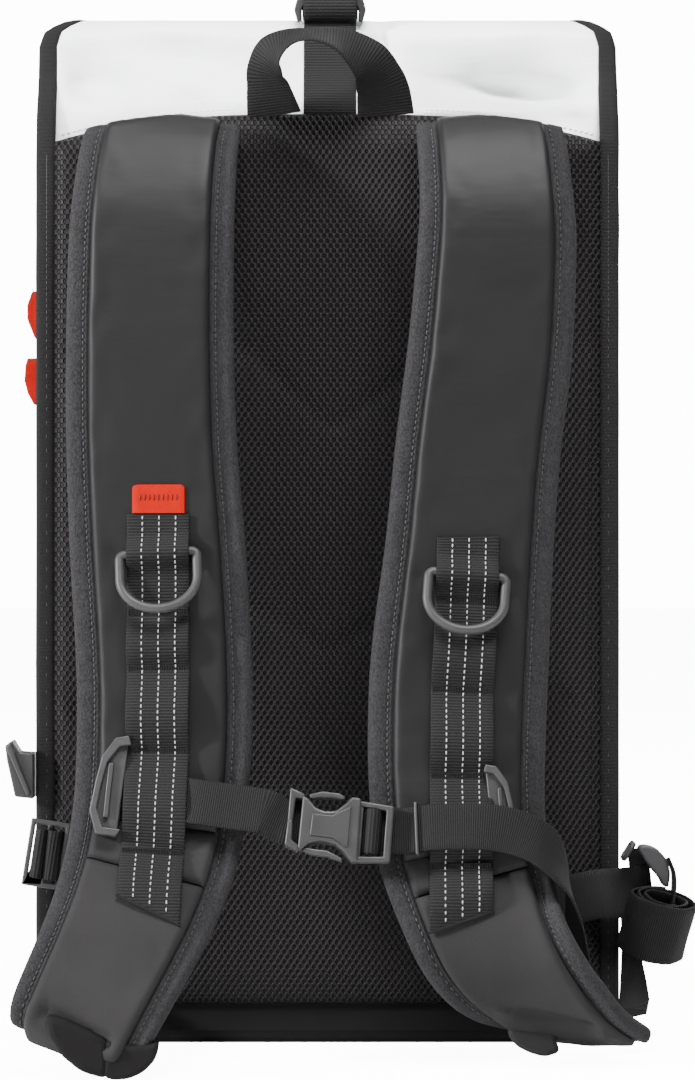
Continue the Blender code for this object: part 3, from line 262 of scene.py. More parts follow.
# Folded ends of the straps, seen from the front. The left lip and curl are drawn near-black as
# painted shade of the fold; the right tab is matt cloth. Columns: side and height in metres.
LIP_OUTLINE = ((-0.1480, 0.0356), (-0.1370, 0.0330), (-0.1260, 0.0275), (-0.1150, 0.0222),
               (-0.1140, 0.0120), (-0.1155, 0.0012), (-0.1290, 0.0050), (-0.1400, 0.0140),
               (-0.1462, 0.0240))
CURL_OUTLINE = ((-0.1160, 0.0222), (-0.1060, 0.0196), (-0.0950, 0.0190), (-0.0880, 0.0210),
                (-0.0895, 0.0120), (-0.0960, 0.0050), (-0.1040, 0.0014), (-0.1130, 0.0008),
                (-0.1175, 0.0030), (-0.1168, 0.0120))
TAB_OUTLINE = ((0.0990, 0.0300), (0.0985, 0.0160), (0.1030, 0.0100), (0.1110, 0.0060),
               (0.1190, 0.0040), (0.1270, 0.0068), (0.1240, 0.0160), (0.1230, 0.0290))

# Outlines of moulded plates, across and up from each plate's own middle, in metres.
HOOK_OUTLINE = ((-0.0174, 0.0308), (-0.0244, 0.0292), (-0.0309, 0.0183), (-0.0330, 0.0040),
                (-0.0345, -0.0120), (-0.0298, -0.0245), (-0.0185, -0.0250))
HOOK_BAR = ((-0.0268, 0.0150), (-0.0240, 0.0150), (-0.0240, -0.0150), (-0.0268, -0.0150))
SOCKET_OUTLINE = ((-0.0225, 0.0140), (-0.0190, 0.0120), (-0.0150, 0.0076), (-0.0100, 0.0060),
                  (-0.0040, 0.0066), (0.0010, 0.0112), (0.0040, 0.0150), (0.0092, 0.0146),
                  (0.0098, -0.0200), (0.0060, -0.0202), (0.0020, -0.0158), (-0.0030, -0.0118),
                  (-0.0110, -0.0104), (-0.0172, -0.0122), (-0.0205, -0.0156), (-0.0230, -0.0160))
SOCKET_PANEL = ((-0.0165, 0.0040), (-0.0060, 0.0036), (0.0040, 0.0095), (0.0040, -0.0135),
                (-0.0050, -0.0085), (-0.0170, -0.0080))
HORN_TOP = ((-0.0296, 0.0178), (-0.0215, 0.0148), (-0.0212, 0.0118), (-0.0262, 0.0124),
            (-0.0268, -0.0010), (-0.0296, -0.0010))
HORN_BOTTOM = ((-0.0296, 0.0000), (-0.0268, 0.0000), (-0.0264, -0.0110), (-0.0222, -0.0138),
               (-0.0226, -0.0170), (-0.0302, -0.0140))
PRESS_TOP = ((-0.0192, 0.0150), (-0.0120, 0.0172), (-0.0030, 0.0168), (0.0008, 0.0150),
             (0.0000, 0.0132), (-0.0060, 0.0140), (-0.0130, 0.0138), (-0.0184, 0.0124))
PRESS_BOTTOM = ((-0.0200, -0.0140), (-0.0140, -0.0148), (-0.0070, -0.0150), (0.0010, -0.0184),
                (0.0016, -0.0204), (-0.0070, -0.0182), (-0.0150, -0.0178), (-0.0204, -0.0164))
PLUG_LADDER = ((0.0082, 0.0135), (0.0272, 0.0118), (0.0272, -0.0188), (0.0082, -0.0202),
               (0.0082, -0.0172), (0.0232, -0.0162), (0.0232, 0.0092), (0.0082, 0.0105))
PLUG_NECK = ((0.0086, 0.0118), (0.0108, 0.0118), (0.0108, -0.0186), (0.0086, -0.0186))
PRONG_OUTLINE = ((0.0148, 0.0108), (0.0190, 0.0098), (0.0206, 0.0040), (0.0186, -0.0030),
                 (0.0160, -0.0018), (0.0164, 0.0040), (0.0142, 0.0072))
# The sternum buckle's plates: name, outline, front, back, radius of the edges and node.
STERNUM_PLATES = (
    ("socket_body", SOCKET_OUTLINE, -0.0060, 0.0040, 0.0014, "buckle_socket"),
    ("socket_panel", SOCKET_PANEL, -0.0068, -0.0050, 0.0006, None),
    ("horn_top", HORN_TOP, -0.0052, 0.0026, 0.0010, None),
    ("horn_bottom", HORN_BOTTOM, -0.0052, 0.0026, 0.0010, None),
    ("press_top", PRESS_TOP, -0.0040, 0.0016, 0.0009, None),
    ("press_bottom", PRESS_BOTTOM, -0.0040, 0.0016, 0.0009, None),
    ("plug_ladder", PLUG_LADDER, -0.0046, 0.0022, 0.0011, "buckle_plug"),
    ("plug_neck", PLUG_NECK, -0.0036, 0.0020, 0.0006, None),
)
# Outlines at the pack's edges. Columns: distance past the edge and height above the level.
SIDE_HOOK_OUTLINE = (
    (0.0166, 0.0607), (0.0127, 0.0635), (0.0087, 0.0567), (0.0004, 0.0562),
    (0.0004, 0.0307), (0.0110, 0.0319), (0.0155, 0.0522),
)
SIDE_RIDGE_OUTLINE = (
    (0.0160, 0.0600), (0.0132, 0.0622), (0.0016, 0.0338), (0.0042, 0.0326),
)
SIDE_BUCKLE_OUTLINE = (
    (0.0072, 0.0210), (0.0100, 0.0222), (0.0128, 0.0222), (0.0162, 0.0212), (0.0192, 0.0194),
    (0.0221, 0.0164), (0.0243, 0.0124), (0.0256, 0.0065), (0.0245, -0.0013), (0.0211, -0.0002),
    (0.0189, 0.0043), (0.0150, 0.0088), (0.0111, 0.0143),
)

# Grab handle edges. Columns: side, up and reach of the outer edge, then of the inner edge.
HANDLE_EDGES = (
    (-0.277, 0.8980, -0.050, -0.089, 0.8980, -0.050),
    (-0.277, 0.922, -0.005, -0.122, 0.919, 0.030),
    (-0.272, 0.941, 0.030, -0.150, 0.934, 0.105),
    (-0.223, 0.963, 0.072, -0.142, 0.949, 0.205),
    (-0.100, 0.976, 0.094, -0.082, 0.960, 0.285),
    (0.060, 0.975, 0.094, 0.005, 0.954, 0.285),
    (0.189, 0.957, 0.078, 0.074, 0.936, 0.205),
    (0.255, 0.936, 0.030, 0.095, 0.922, 0.085),
    (0.282, 0.920, -0.005, 0.100, 0.914, 0.020),
    (0.297, 0.8980, -0.050, 0.103, 0.8980, -0.050),
)

# Free webbing. Columns: side, up and reach as shares of half width, pack height and
# strap reach, and for the sternum strap its twist in degrees.
STERNUM_LEFT = (
    (-0.200, 0.2370, 0.618, 0), (-0.300, 0.2410, 0.612, 0), (-0.430, 0.2460, 0.605, 0),
    (-0.500, 0.2475, 0.560, 0),
)
STERNUM_RIGHT = (
    (0.340, 0.2230, 0.648, 0), (0.500, 0.2240, 0.662, 0),
    (0.620, 0.2180, 0.655, 0), (0.715, 0.2040, 0.640, -12), (0.785, 0.1740, 0.590, -45),
    (0.815, 0.1400, 0.530, -68), (0.832, 0.1080, 0.450, -75), (0.856, 0.0800, 0.400, -72),
)
# The closure's web down the front. Columns: back to front as a share of half depth, and up as a
# share of pack height.
CLOSURE_FRONT = (
    (-0.240, 1.0085), (-0.170, 1.0030), (-0.100, 0.9850), (0.300, 0.9400),
    (0.700, 0.8780), (0.940, 0.8220), (1.020, 0.7500), (1.065, 0.6500),
)
# Hip hardware, stowed at both edges. Its level is a share of pack height. Columns: distance
# past the pack's edge, height above the level and reach before the panel, in metres.
HIP_LEVEL = {"left": 0.186, "right": 0.160}
SIDE_SLIDER = (-0.00710, 0.0, 0.00576)
SIDE_HOOK = (0.0, 0.0, 0.00232)
SIDE_BUCKLE = (0.0, 0.0, 0.02950)
SIDE_BUNDLE = (0.01865, -0.02185, 0.03088)
SIDE_WEB_LEFT = (
    (-0.0297, -0.0009, 0.00205), (-0.0429, -0.0012, 0.00118), (-0.0660, -0.0018, 0.00118),
    (-0.0908, -0.0023, 0.00118),
)
SIDE_WEB_RIGHT = (
    (-0.0726, -0.0176, 0.00118), (-0.0495, -0.0146, 0.00118), (-0.0264, -0.0105, 0.00118),
    (-0.0132, -0.0076, 0.00448), (-0.0017, -0.0060, 0.01216), (0.0083, -0.0045, 0.01702),
    (0.0165, -0.0035, 0.01728),
)
BUNDLE_TAIL = (
    (0.0245, 0.0150, 0.0235), (0.0275, 0.0060, 0.0250), (0.0268, -0.0060, 0.0300),
    (0.0240, -0.0180, 0.0340),
)
RING_WEB = (
    (0.0080, 0.0195, 0.0160), (0.0088, 0.0120, 0.0160), (0.0095, 0.0040, 0.0156),
    (0.0100, -0.0040, 0.0152),
)
# The left web folded over its slider's middle bar in two soft rolls. Columns: distance across
# the slider and distance behind it.
SLIDER_FOLD = (
    (-0.0066, 0.0010), (-0.0070, -0.0012), (-0.0052, -0.0034), (-0.0028, -0.0034),
    (-0.0012, -0.0016), (0.0000, -0.0015), (0.0016, -0.0036), (0.0044, -0.0038),
    (0.0068, -0.0026), (0.00845, 0.0022), (0.01125, 0.0026),
)
# The right web rolled into a bundle: half sizes, width, turns and stations a turn.
BUNDLE_HALF = (0.0195, 0.0115)
BUNDLE_WIDTH = 0.036
BUNDLE_TURNS = 2.6
BUNDLE_STEPS = 40
ADJUSTER_LEFT = (
    (-0.810, 0.0400, 0.560), (-0.835, 0.0460, 0.300), (-0.850, 0.0580, 0.090),
    (-0.850, 0.0640, 0.0120),
)
ADJUSTER_RIGHT = (
    (1.035, 0.0400, 0.190), (1.034, 0.0700, 0.090), (1.0270, 0.1050, 0.010),
    (1.0098, 0.1400, -0.005),
)
ADJUSTER_OVERLAP = 1.1
ADJUSTER_SHIFT = {"left": 0.0, "right": -0.014}
ADJUSTER_DROP = {"left": 2 * GAP, "right": 4 * GAP}

# Quilting of the back panel. Columns: side as a share of half width, up as a share of
# pack height, along each sewn channel from left to right.
QUILT_LINES = (
    ((-1.0, 0.655), (-0.62, 0.700), (-0.27, 0.671), (0.02, 0.598), (0.28, 0.650),
     (0.62, 0.700), (1.0, 0.655)),
    ((-1.0, 0.355), (-0.86, 0.326), (-0.55, 0.380), (-0.27, 0.424), (0.0, 0.383),
     (0.27, 0.424), (0.55, 0.380), (0.86, 0.326), (1.0, 0.355)),
)


# Curves and bands

def smooth(rows, steps):
    """Rows with more rows between them, on smooth curves through every column."""
    out = []
    last = len(rows) - 1
    for index in range(last):
        before, start = rows[max(index - 1, 0)], rows[index]
        end, after = rows[index + 1], rows[min(index + 2, last)]
        for step in range(steps):
            t = step / steps
            out.append(tuple(
                0.5 * (2 * b + (c - a) * t + (2 * a - 5 * b + 4 * c - d) * t * t
                       + (3 * b - a - 3 * c + d) * t ** 3)
                for a, b, c, d in zip(before, start, end, after)))
    out.append(tuple(rows[last]))
    return out


def ramp(value, start, end):
    """From 0 at the start to 1 at the end, and level beyond them."""
    return min(max((value - start) / (end - start), 0.0), 1.0)


def bell(distance, width):
    """1 in the middle, falling away softly over a width."""
    return exp(-(distance / width) ** 2)


def round_over(distance, radius):
    """Height of a rounded edge: 0 at the rim and 1 from its radius inward."""
    return sqrt(max(1 - (1 - min(distance / radius, 1.0)) ** 2, 0.0))


def circle(count, turn=2 * pi):
    """Angles at even steps round a circle."""
    return [turn * k / count for k in range(count)]


def ways(points):
    """The direction of a path at each of its points."""
    last = len(points) - 1
    return [(points[min(i + 1, last)] - points[max(i - 1, 0)]).normalized()
            for i in range(last + 1)]


def between(rows, key):
    """The value at a key, straight between rows of key and value that are in order."""
    if key <= rows[0][0]:
        return rows[0][1]
    for start, end in zip(rows, rows[1:]):
        if key <= end[0]:
            share = (key - start[0]) / ((end[0] - start[0]) or 1.0)
            return start[1] + (end[1] - start[1]) * share
    return rows[-1][1]


def spot(side, up, reach):
    """A place from its shares: side of half width, up of height, reach before the panel."""
    return Vector((side * HALF_WIDTH, PANEL_Y - reach * STRAP_REACH, up * PACK_HEIGHT))


def hip_spot(side, past, above, reach):
    """A place of the hip hardware: past the edge, above its level, before the panel."""
    x = (HALF_WIDTH + past) * (-1 if side == "left" else 1)
    return Vector((x, PANEL_Y - reach, HIP_LEVEL[side] * PACK_HEIGHT + above))


def pad_top(x):
    """The height of the back panel's curved top edge at a side."""
    return PAD_HIGH.z - PAD_TOP_DROP * min(abs(x) / SHELL_SIDE, 1.0) ** 3


def flush(point):
    """The point brought down to the curve where the collar is sewn to the panel."""
    return Vector((point.x, point.y, min(point.z, pad_top(point.x))))


class Band:
    """A flat band: at each station a centre, across and outward directions and half sizes."""

    def __init__(self, centres, across, widths, thicks):
        self.centres = centres
        self.half = [(w / 2, t / 2) for w, t in zip(widths, thicks)]
        self.along = ways(centres)
        self.across = [(a - t * a.dot(t)).normalized() for a, t in zip(across, self.along)]
        self.out = [t.cross(a).normalized() for a, t in zip(self.across, self.along)]
        self.run = [0.0]
        for start, end in zip(centres, centres[1:]):
            self.run.append(self.run[-1] + (end - start).length)

    def frame(self, position):
        """Centre, across, outward and half sizes at a fractional station."""
        index = min(int(position), len(self.centres) - 2)
        t = position - index
        centre, across, out = [a[index].lerp(a[index + 1], t)
                               for a in (self.centres, self.across, self.out)]
        half = [a + (b - a) * t for a, b in zip(self.half[index], self.half[index + 1])]
        return centre, across.normalized(), out.normalized(), half

    def level(self, up):
        """The fractional station at a height."""
        height = up * PACK_HEIGHT
        for index in range(len(self.centres) - 1):
            above, below = self.centres[index].z, self.centres[index + 1].z
            if above >= height > below:
                return index + (above - height) / (above - below)
        return float(len(self.centres) - 1)

    def station(self, distance):
        """The fractional station at a distance along the band."""
        for index in range(len(self.run) - 1):
            if self.run[index + 1] >= distance:
                span = self.run[index + 1] - self.run[index]
                return index + (distance - self.run[index]) / (span or 1.0)
        return float(len(self.run) - 1)

    def cut(self, first, last):
        """The stations from one position to another, with both ends."""
        inner = [i for i in range(len(self.centres)) if first + 0.05 < i < last - 0.05]
        return [first, *inner, last]

    def at(self, position, x, lift):
        """A place at a side X and a lift off the outer surface."""
        centre, across, out, half = self.frame(position)
        return centre + across * ((x - centre.x) / across.x) + out * (half[1] + lift)

    def under(self, position, shift, drop):
        """A place at a shift across the band and a drop below its inner surface."""
        centre, across, out, half = self.frame(position)
        return centre + across * shift - out * (half[1] + drop)

    def seat(self, position, x, lift):
        """A matrix on the surface: x across, z up along the band and -y outward."""
        centre, across, out, half = self.frame(position)
        up = across.cross(-out)
        turn = Matrix((across, -out, up)).transposed().to_4x4()
        return Matrix.Translation(self.at(position, x, lift)) @ turn


def carried(points, first_across, twists):
    """Across directions carried along a path without spin, then twisted by degrees."""
    across, out = first_across.copy(), []
    for along, twist in zip(ways(points), twists):
        across = (across - along * across.dot(along)).normalized()
        out.append(Matrix.Rotation(radians(twist), 3, along) @ across)
    return out


def eased(start, end, count):
    """Across directions that turn evenly from one to another."""
    return [start.lerp(end, index / (count - 1)) for index in range(count)]


def strap_band(table):
    """The route of a strap as a band, from its table."""
    rows = smooth(table, STRAP_STEPS)
    points = [spot(side, up, reach) for up, side, reach, *_ in rows]
    return Band(points, carried(points, X_AXIS, [row[5] for row in rows]),
                [row[3] * STRAP_WIDTH for row in rows],
                [row[4] * STRAP_THICK for row in rows])


def ribbon(points, across, width, thick=WEB_THICK):
    """A band of one width and thickness. Across is one direction, or one for each point."""
    count = len(points)
    return Band(points, across if isinstance(across, list) else [across] * count,
                [width] * count, [thick] * count)


# Materials

class Finish:
    """A Principled material that is built up from its patterns."""

    def __init__(self, name, colour, roughness, **sockets):
        self.material = bpy.data.materials.new(name)
        self.material.use_nodes = True
        self.tree = self.material.node_tree
        self.shader = self.tree.nodes["Principled BSDF"]
        self.shader.inputs["Base Color"].default_value = (*colour, 1.0)
        self.shader.inputs["Roughness"].default_value = roughness
        for socket, value in sockets.items():
            self.shader.inputs[socket.replace("_", " ")].default_value = value
        self.normal = None

    def node(self, kind, *inputs, **settings):
        """A node with its settings and inputs. Gives back its first output."""
        made = self.tree.nodes.new("ShaderNode" + kind)
        for key, value in settings.items():
            setattr(made, key, value)
        for socket, value in zip(made.inputs, inputs):
            self.put(value, socket)
        return made.outputs[0]

    def put(self, value, socket):
        """A link or a plain value into a socket."""
        if isinstance(value, bpy.types.NodeSocket):
            self.tree.links.new(value, socket)
        else:
            socket.default_value = value

    def place(self, kind, scale):
        """UV or object coordinates in units of the scale given in metres."""
        coords = self.tree.nodes.new("ShaderNodeTexCoord").outputs[kind]
        return self.node("VectorMath", coords, tuple(1 / s for s in scale), operation="MULTIPLY")

    def split(self, vector):
        """The three parts of a vector."""
        made = self.tree.nodes.new("ShaderNodeSeparateXYZ")
        self.put(vector, made.inputs[0])
        return made.outputs

    def maths(self, operation, *values):
        """A sum with values or links."""
        return self.node("Math", *values, operation=operation)

    def wave(self, value):
        """A wave from 0 to 1 with one crest for each unit."""
        turned = self.maths("MULTIPLY", value, 2 * pi)
        return self.maths("MULTIPLY_ADD", self.maths("SINE", turned), 0.5, 0.5)

    def noise(self, size, detail=2.0, rough=0.5, kind="Object"):
        """Soft noise of a grain size in metres, one for all ways or one for each."""
        sizes = size if isinstance(size, tuple) else (size,) * 3
        made = self.tree.nodes.new("ShaderNodeTexNoise")
        made.inputs["Scale"].default_value = 1.0
        made.inputs["Detail"].default_value = detail
        made.inputs["Roughness"].default_value = rough
        self.put(self.place(kind, sizes), made.inputs["Vector"])
        return made.outputs["Fac"]

    def span(self, value, low, high, to_low=0.0, to_high=1.0):
        """The value mapped from one range to another, clamped."""
        return self.node("MapRange", value, low, high, to_low, to_high)

    def paint(self, fac, dark, light):
        """Base colour that runs between two colours."""
        made = self.tree.nodes.new("ShaderNodeMix")
        made.data_type = "RGBA"
        self.put(fac, made.inputs["Factor"])
        for socket in made.inputs:
            if socket.type == "RGBA" and socket.name in "AB":
                socket.default_value = (*(dark if socket.name == "A" else light), 1.0)
        out = [o for o in made.outputs if o.type == "RGBA"][0]
        self.put(out, self.shader.inputs["Base Color"])

    def shine(self, fac, low, high):
        """Roughness that runs between two values."""
        self.put(self.span(fac, 0.0, 1.0, low, high), self.shader.inputs["Roughness"])

    def bump(self, height, distance, strength):
        """Relief on top of any relief that is there already."""
        made = self.tree.nodes.new("ShaderNodeBump")
        made.inputs["Strength"].default_value = strength
        made.inputs["Distance"].default_value = distance
        self.put(height, made.inputs["Height"])
        if self.normal is not None:
            self.put(self.normal, made.inputs["Normal"])
        self.normal = made.outputs["Normal"]
        self.put(self.normal, self.shader.inputs["Normal"])


def shade(colour, factor):
    """A colour made darker or lighter, no lighter than full white."""
    return tuple(min(c * factor, 1.0) for c in colour)


def coated_fabric(name, colour, roughness, grain, level, dents):
    """Smooth coated cloth: a faint woven grain under the coat and soft tone changes."""
    finish = Finish(name, colour, roughness, Specular_IOR_Level=level)
    x, y, z = finish.split(finish.place("Object", (grain, grain, grain)))
    across = finish.maths("ADD", x, y)
    weave = finish.maths("MULTIPLY", finish.wave(across), finish.wave(z))
    tone = finish.noise(0.05, 3.0)
    finish.paint(finish.span(tone, 0.3, 0.7), shade(colour, 0.93), shade(colour, 1.04))
    finish.shine(tone, roughness - 0.05, roughness + 0.08)
    finish.bump(weave, 0.00005, 0.3)
    finish.bump(finish.noise((0.03, 0.03, 0.009)), dents, 0.5)
    return finish.material


def spacer_mesh():
    """Knitted mesh: staggered rows of small holes between raised strands."""
    finish = Finish("spacer_mesh", (0.010, 0.009, 0.0095), 0.55, Specular_IOR_Level=0.10)
    reaches = []
    for shift in (0.0, 0.5):
        x, y, z = finish.split(finish.place("Object", (MESH_PITCH[0], 1.0, MESH_PITCH[1])))
        squares = []
        for value, pitch, hole in zip((x, z), MESH_PITCH, MESH_HOLE):
            centred = finish.maths("SUBTRACT", finish.maths("FRACT",
                                   finish.maths("ADD", value, shift)), 0.5)
            scaled = finish.maths("DIVIDE", centred, hole / pitch)
            squares.append(finish.maths("MULTIPLY", scaled, scaled))
        reaches.append(finish.maths("SQRT", finish.maths("ADD", *squares)))
    solid = finish.span(finish.maths("MINIMUM", *reaches), 0.70, 1.25)
    yarn = finish.noise((0.0006, 0.0006, 0.0009))
    light = finish.maths("MULTIPLY", solid, finish.span(yarn, 0.3, 0.7, 0.55, 1.0))
    light = finish.maths("MULTIPLY", light, finish.span(finish.noise(0.05), 0.3, 0.7, 0.85, 1.0))
    finish.paint(light, (0.0005, 0.0004, 0.0004), (0.0165, 0.0143, 0.0150))
    finish.bump(solid, 0.0014, 0.9)
    finish.bump(yarn, 0.0002, 0.5)
    return finish.material


def knit(name, dark, light):
    """Heathered knit: speckled yarn with fine ribs."""
    finish = Finish(name, dark, 0.85, Specular_IOR_Level=0.12)
    speck = finish.noise((0.0008, 0.0008, 0.0014), 3.0, 0.7)
    mixed = finish.maths("MULTIPLY_ADD", finish.noise(0.02), 0.25,
                         finish.span(speck, 0.36, 0.64))
    finish.paint(finish.span(mixed, 0.0, 1.25), dark, light)
    finish.bump(speck, 0.0004, 0.7)
    return finish.material


def brushed(name, colour, roughness=0.8, level=0.2):
    """Soft matt cloth with a short nap."""
    finish = Finish(name, colour, roughness, Specular_IOR_Level=level)
    nap = finish.noise(0.0007, 2.0, 0.6)
    tone = finish.maths("MULTIPLY_ADD", nap, 0.5,
                        finish.maths("MULTIPLY", finish.noise(0.03, 3.0), 0.5))
    finish.paint(finish.span(tone, 0.3, 0.7), shade(colour, 0.80), shade(colour, 1.2))
    finish.bump(nap, 0.0003, 0.4)
    finish.bump(finish.noise(0.012), 0.0012, 0.3)
    return finish.material


def woven_tape(name, dark, light, rib, yarn, roughness=0.7):
    """Webbing or tape: ribs across the band, each of rounded yarns."""
    finish = Finish(name, dark, roughness, Specular_IOR_Level=0.12)
    u, v, _ = finish.split(finish.place("UV", (yarn, rib, 1.0)))
    yarns = finish.wave(finish.maths("MULTIPLY_ADD", finish.maths("FLOOR", v), 0.5, u))
    fuzz = finish.noise((0.0010, 0.0006, 1.0), 2.0, 0.6, "UV")
    weave = finish.maths("MULTIPLY", finish.wave(v),
                         finish.maths("MULTIPLY_ADD", yarns, 0.45, 0.55))
    tone = finish.maths("MULTIPLY_ADD", fuzz, 0.7, finish.maths("MULTIPLY", weave, 0.6))
    finish.paint(finish.span(tone, 0.25, 0.95), dark, light)
    finish.bump(weave, 0.00035, 0.8)
    return finish.material


def moulded(name, colour, roughness, level):
    """Moulded plastic with a fine spark texture."""
    finish = Finish(name, colour, roughness, Specular_IOR_Level=level)
    wear = finish.noise(0.010, 3.0)
    finish.paint(finish.span(wear, 0.3, 0.7), shade(colour, 0.9), shade(colour, 1.1))
    finish.shine(wear, roughness - 0.06, roughness + 0.08)
    finish.bump(finish.noise(0.0006), 0.00012, 0.5)
    return finish.material


def thread(name, colour):
    """Twisted sewing thread."""
    finish = Finish(name, colour, 0.6, Specular_IOR_Level=0.2)
    finish.paint(finish.noise(0.0003, 1.0), shade(colour, 0.7), shade(colour, 1.1))
    return finish.material


WHITE = coated_fabric("white_coated_fabric", (0.88, 0.89, 0.90), 0.40, 0.0009, 0.4, 0.0012)
# Near-black cloth: the own colour of the boot and the panel's seam allowance, and painted shade on
# the left strap's folded end.
BLACK_AND_FOLD_SHADE = brushed("black_fabric", (0.0048, 0.0043, 0.0044), 0.8, 0.10)
MESH = spacer_mesh()
KNIT = knit("border_knit", (0.0045, 0.0043, 0.0046), (0.0250, 0.0240, 0.0257))
SATIN = coated_fabric("strap_satin", (0.0052, 0.0050, 0.0053), 0.55, 0.0008, 0.16, 0.0006)
MATT = brushed("strap_matt", (0.0135, 0.0129, 0.0131), 0.75, 0.12)
WEBBING = woven_tape("webbing", (0.0015, 0.0015, 0.0015), (0.0128, 0.0124, 0.0128), 0.0017,
                     0.0016)
DARK_WEBBING = woven_tape("dark_webbing", (0.0015, 0.0015, 0.0015), (0.0100, 0.0096, 0.0098),
                          0.0012, 0.0013)
BINDING = woven_tape("binding_tape", (0.0035, 0.0035, 0.0036), (0.0125, 0.0122, 0.0124), 0.0008,
                     0.0016, 0.75)
PLASTIC = moulded("moulded_plastic", (0.0200, 0.0197, 0.0200), 0.42, 0.3)
RING_PLASTIC = moulded("ring_plastic", (0.025, 0.025, 0.026), 0.46, 0.25)
ORANGE = moulded("orange_tag", (0.26, 0.0030, 0.0001), 0.6, 0.05)
RED = moulded("red_pull", (0.22, 0.0025, 0.0008), 0.6, 0.05)
RIB_SHADE = thread("rib_shade", (0.10, 0.004, 0.001))
LIGHT_THREAD = thread("light_thread", (0.30, 0.30, 0.29))
WHITE_THREAD = thread("white_thread", (0.80, 0.80, 0.80))
DARK_THREAD = thread("dark_thread", (0.036, 0.035, 0.037))
# Near-black cloth for painted shade: the dark bands at the daisy tacks and the dark line of the
# daisy slits.
GROOVE_SHADE = brushed("groove_shadow", (0.0015, 0.0015, 0.0015))


# Meshes

def adopt(piece, slot, *replaced, body="pack"):
    """The piece rides on its body and stands for its nodes, which are hidden. The slot is not used.
    """
    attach(piece, body)
    if replaced:
        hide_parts(*replaced)
    return piece


def link_object(name, data, material=None):
    """A new object in the scene, with its material."""
    made = bpy.data.objects.new(name, data)
    if material:
        data.materials.append(material)
    bpy.context.scene.collection.objects.link(made)
    return made


def solid(name, verts, faces, material, uvs=None, sharp=45):
    """A smooth-shaded object from vertices, faces and a place in the weave for each vertex."""
    mesh = bpy.data.meshes.new(name)
    mesh.from_pydata([tuple(v) for v in verts], [], faces)
    bm = bmesh.new()
    bm.from_mesh(mesh)
    bmesh.ops.recalc_face_normals(bm, faces=bm.faces)
    if uvs:
        layer = bm.loops.layers.uv.new("weave")
        for face in bm.faces:
            for loop in face.loops:
                loop[layer].uv = uvs[loop.vert.index]
    bm.to_mesh(mesh)
    bm.free()
    mesh.shade_smooth()
    mesh.set_sharp_from_angle(angle=radians(sharp))
    return link_object(name, mesh, material)


def loft(name, rings, material, uvs=None, closed=False, sharp=45):
    """A closed body through rings of points, capped unless it runs round into itself."""
    count, around = len(rings), len(rings[0])
    faces = []
    for i in range(count if closed else count - 1):
        low, high = i * around, (i + 1) % count * around
        faces += [(low + k, low + (k + 1) % around, high + (k + 1) % around, high + k)
                  for k in range(around)]
    if not closed:
        faces += [tuple(range(around)), tuple(range((count - 1) * around, count * around))]
    flat = [uv for ring in uvs for uv in ring] if uvs else None
    return solid(name, [p for ring in rings for p in ring], faces, material, flat, sharp)


def tape_profile(half, columns=8):
    """A flat section with rounded edges, from its half width and half thickness."""
    half_width, half_thick = half
    corner = half_thick * 0.9
    out = []
    for right in (1, -1):
        for step in range(5):
            angle = right * pi / 2 - pi * step / 4
            out.append((right * (half_width - corner) + corner * cos(angle),
                        half_thick * sin(angle)))
        for step in range(1, columns):
            share = step / columns
            out.append((right * (half_width - corner) * (1 - 2 * share), -right * half_thick))
    return out


def swept(name, band, material, section, shape, sharp=45):
    """A body along a band. Shape puts each point of a station's section in its place."""
    rings, uvs = [], []
    for station in zip(band.centres, band.across, band.out, band.half, band.run, band.along):
        made = [shape(x, y, *station) for x, y in section(station[3])]
        rings.append([point for point, _ in made])
        uvs.append([uv for _, uv in made])
    return loft(name, rings, material, uvs, sharp=sharp)


def tape(name, band, material, ripple=0.0, seed=0.0):
    """Webbing along a band, with a slight ripple of its own."""
    def shape(x, y, centre, across, out, half, run, along):
        sway = ripple * noise.noise(Vector((x * RIPPLE_ACROSS, run * RIPPLE_ALONG, seed)))
        return centre + across * x + out * (y + sway), (x, run)

    return swept(name, band, material, tape_profile, shape)


def finer(band, step):
    """The band again with stations an even step apart."""
    count = max(int(band.run[-1] / step), 2)
    frames = [band.frame(band.station(band.run[-1] * k / count)) for k in range(count + 1)]
    made = Band([f[0] for f in frames], [f[1] for f in frames],
                [2 * f[3][0] for f in frames], [2 * f[3][1] for f in frames])
    made.across = [f[1] for f in frames]
    made.out = [f[2] for f in frames]
    return made


def tube(name, points, radius, material, sides=14):
    """A closed round wire in the plane of its points."""
    count = len(points)
    middle = sum(points, Vector()) / count
    normal = (points[0] - middle).cross(points[count // 3] - middle).normalized()
    rings = []
    for index, point in enumerate(points):
        along = (points[(index + 1) % count] - points[index - 1]).normalized()
        side = along.cross(normal)
        rings.append([point + (side * cos(a) + normal * sin(a)) * radius
                      for a in circle(sides)])
    return loft(name, rings, material, closed=True, sharp=80)


def stitches(name, places, length, radius, material, sides=6):
    """Many small stitches in one mesh. Each place is a centre, a direction and an outward way."""
    verts, faces = [], []
    last = len(STITCH_FORM) - 1
    for centre, along, out in places:
        side = along.cross(out).normalized()
        base = len(verts)
        for t, share in STITCH_FORM:
            dip = -radius * 0.9 * t * t
            middle = centre + along * (t * length / 2)
            reach = radius * share
            verts += [middle + out * (dip + reach * sin(a)) + side * reach * cos(a)
                      for a in circle(sides)]
        for low in range(base, base + last * sides, sides):
            faces += [(low + k, low + (k + 1) % sides, low + sides + (k + 1) % sides,
                       low + sides + k) for k in range(sides)]
        for end in (base, base + last * sides):
            faces.append(tuple(range(end, end + sides)))
    return solid(name, verts, faces, material, sharp=180)


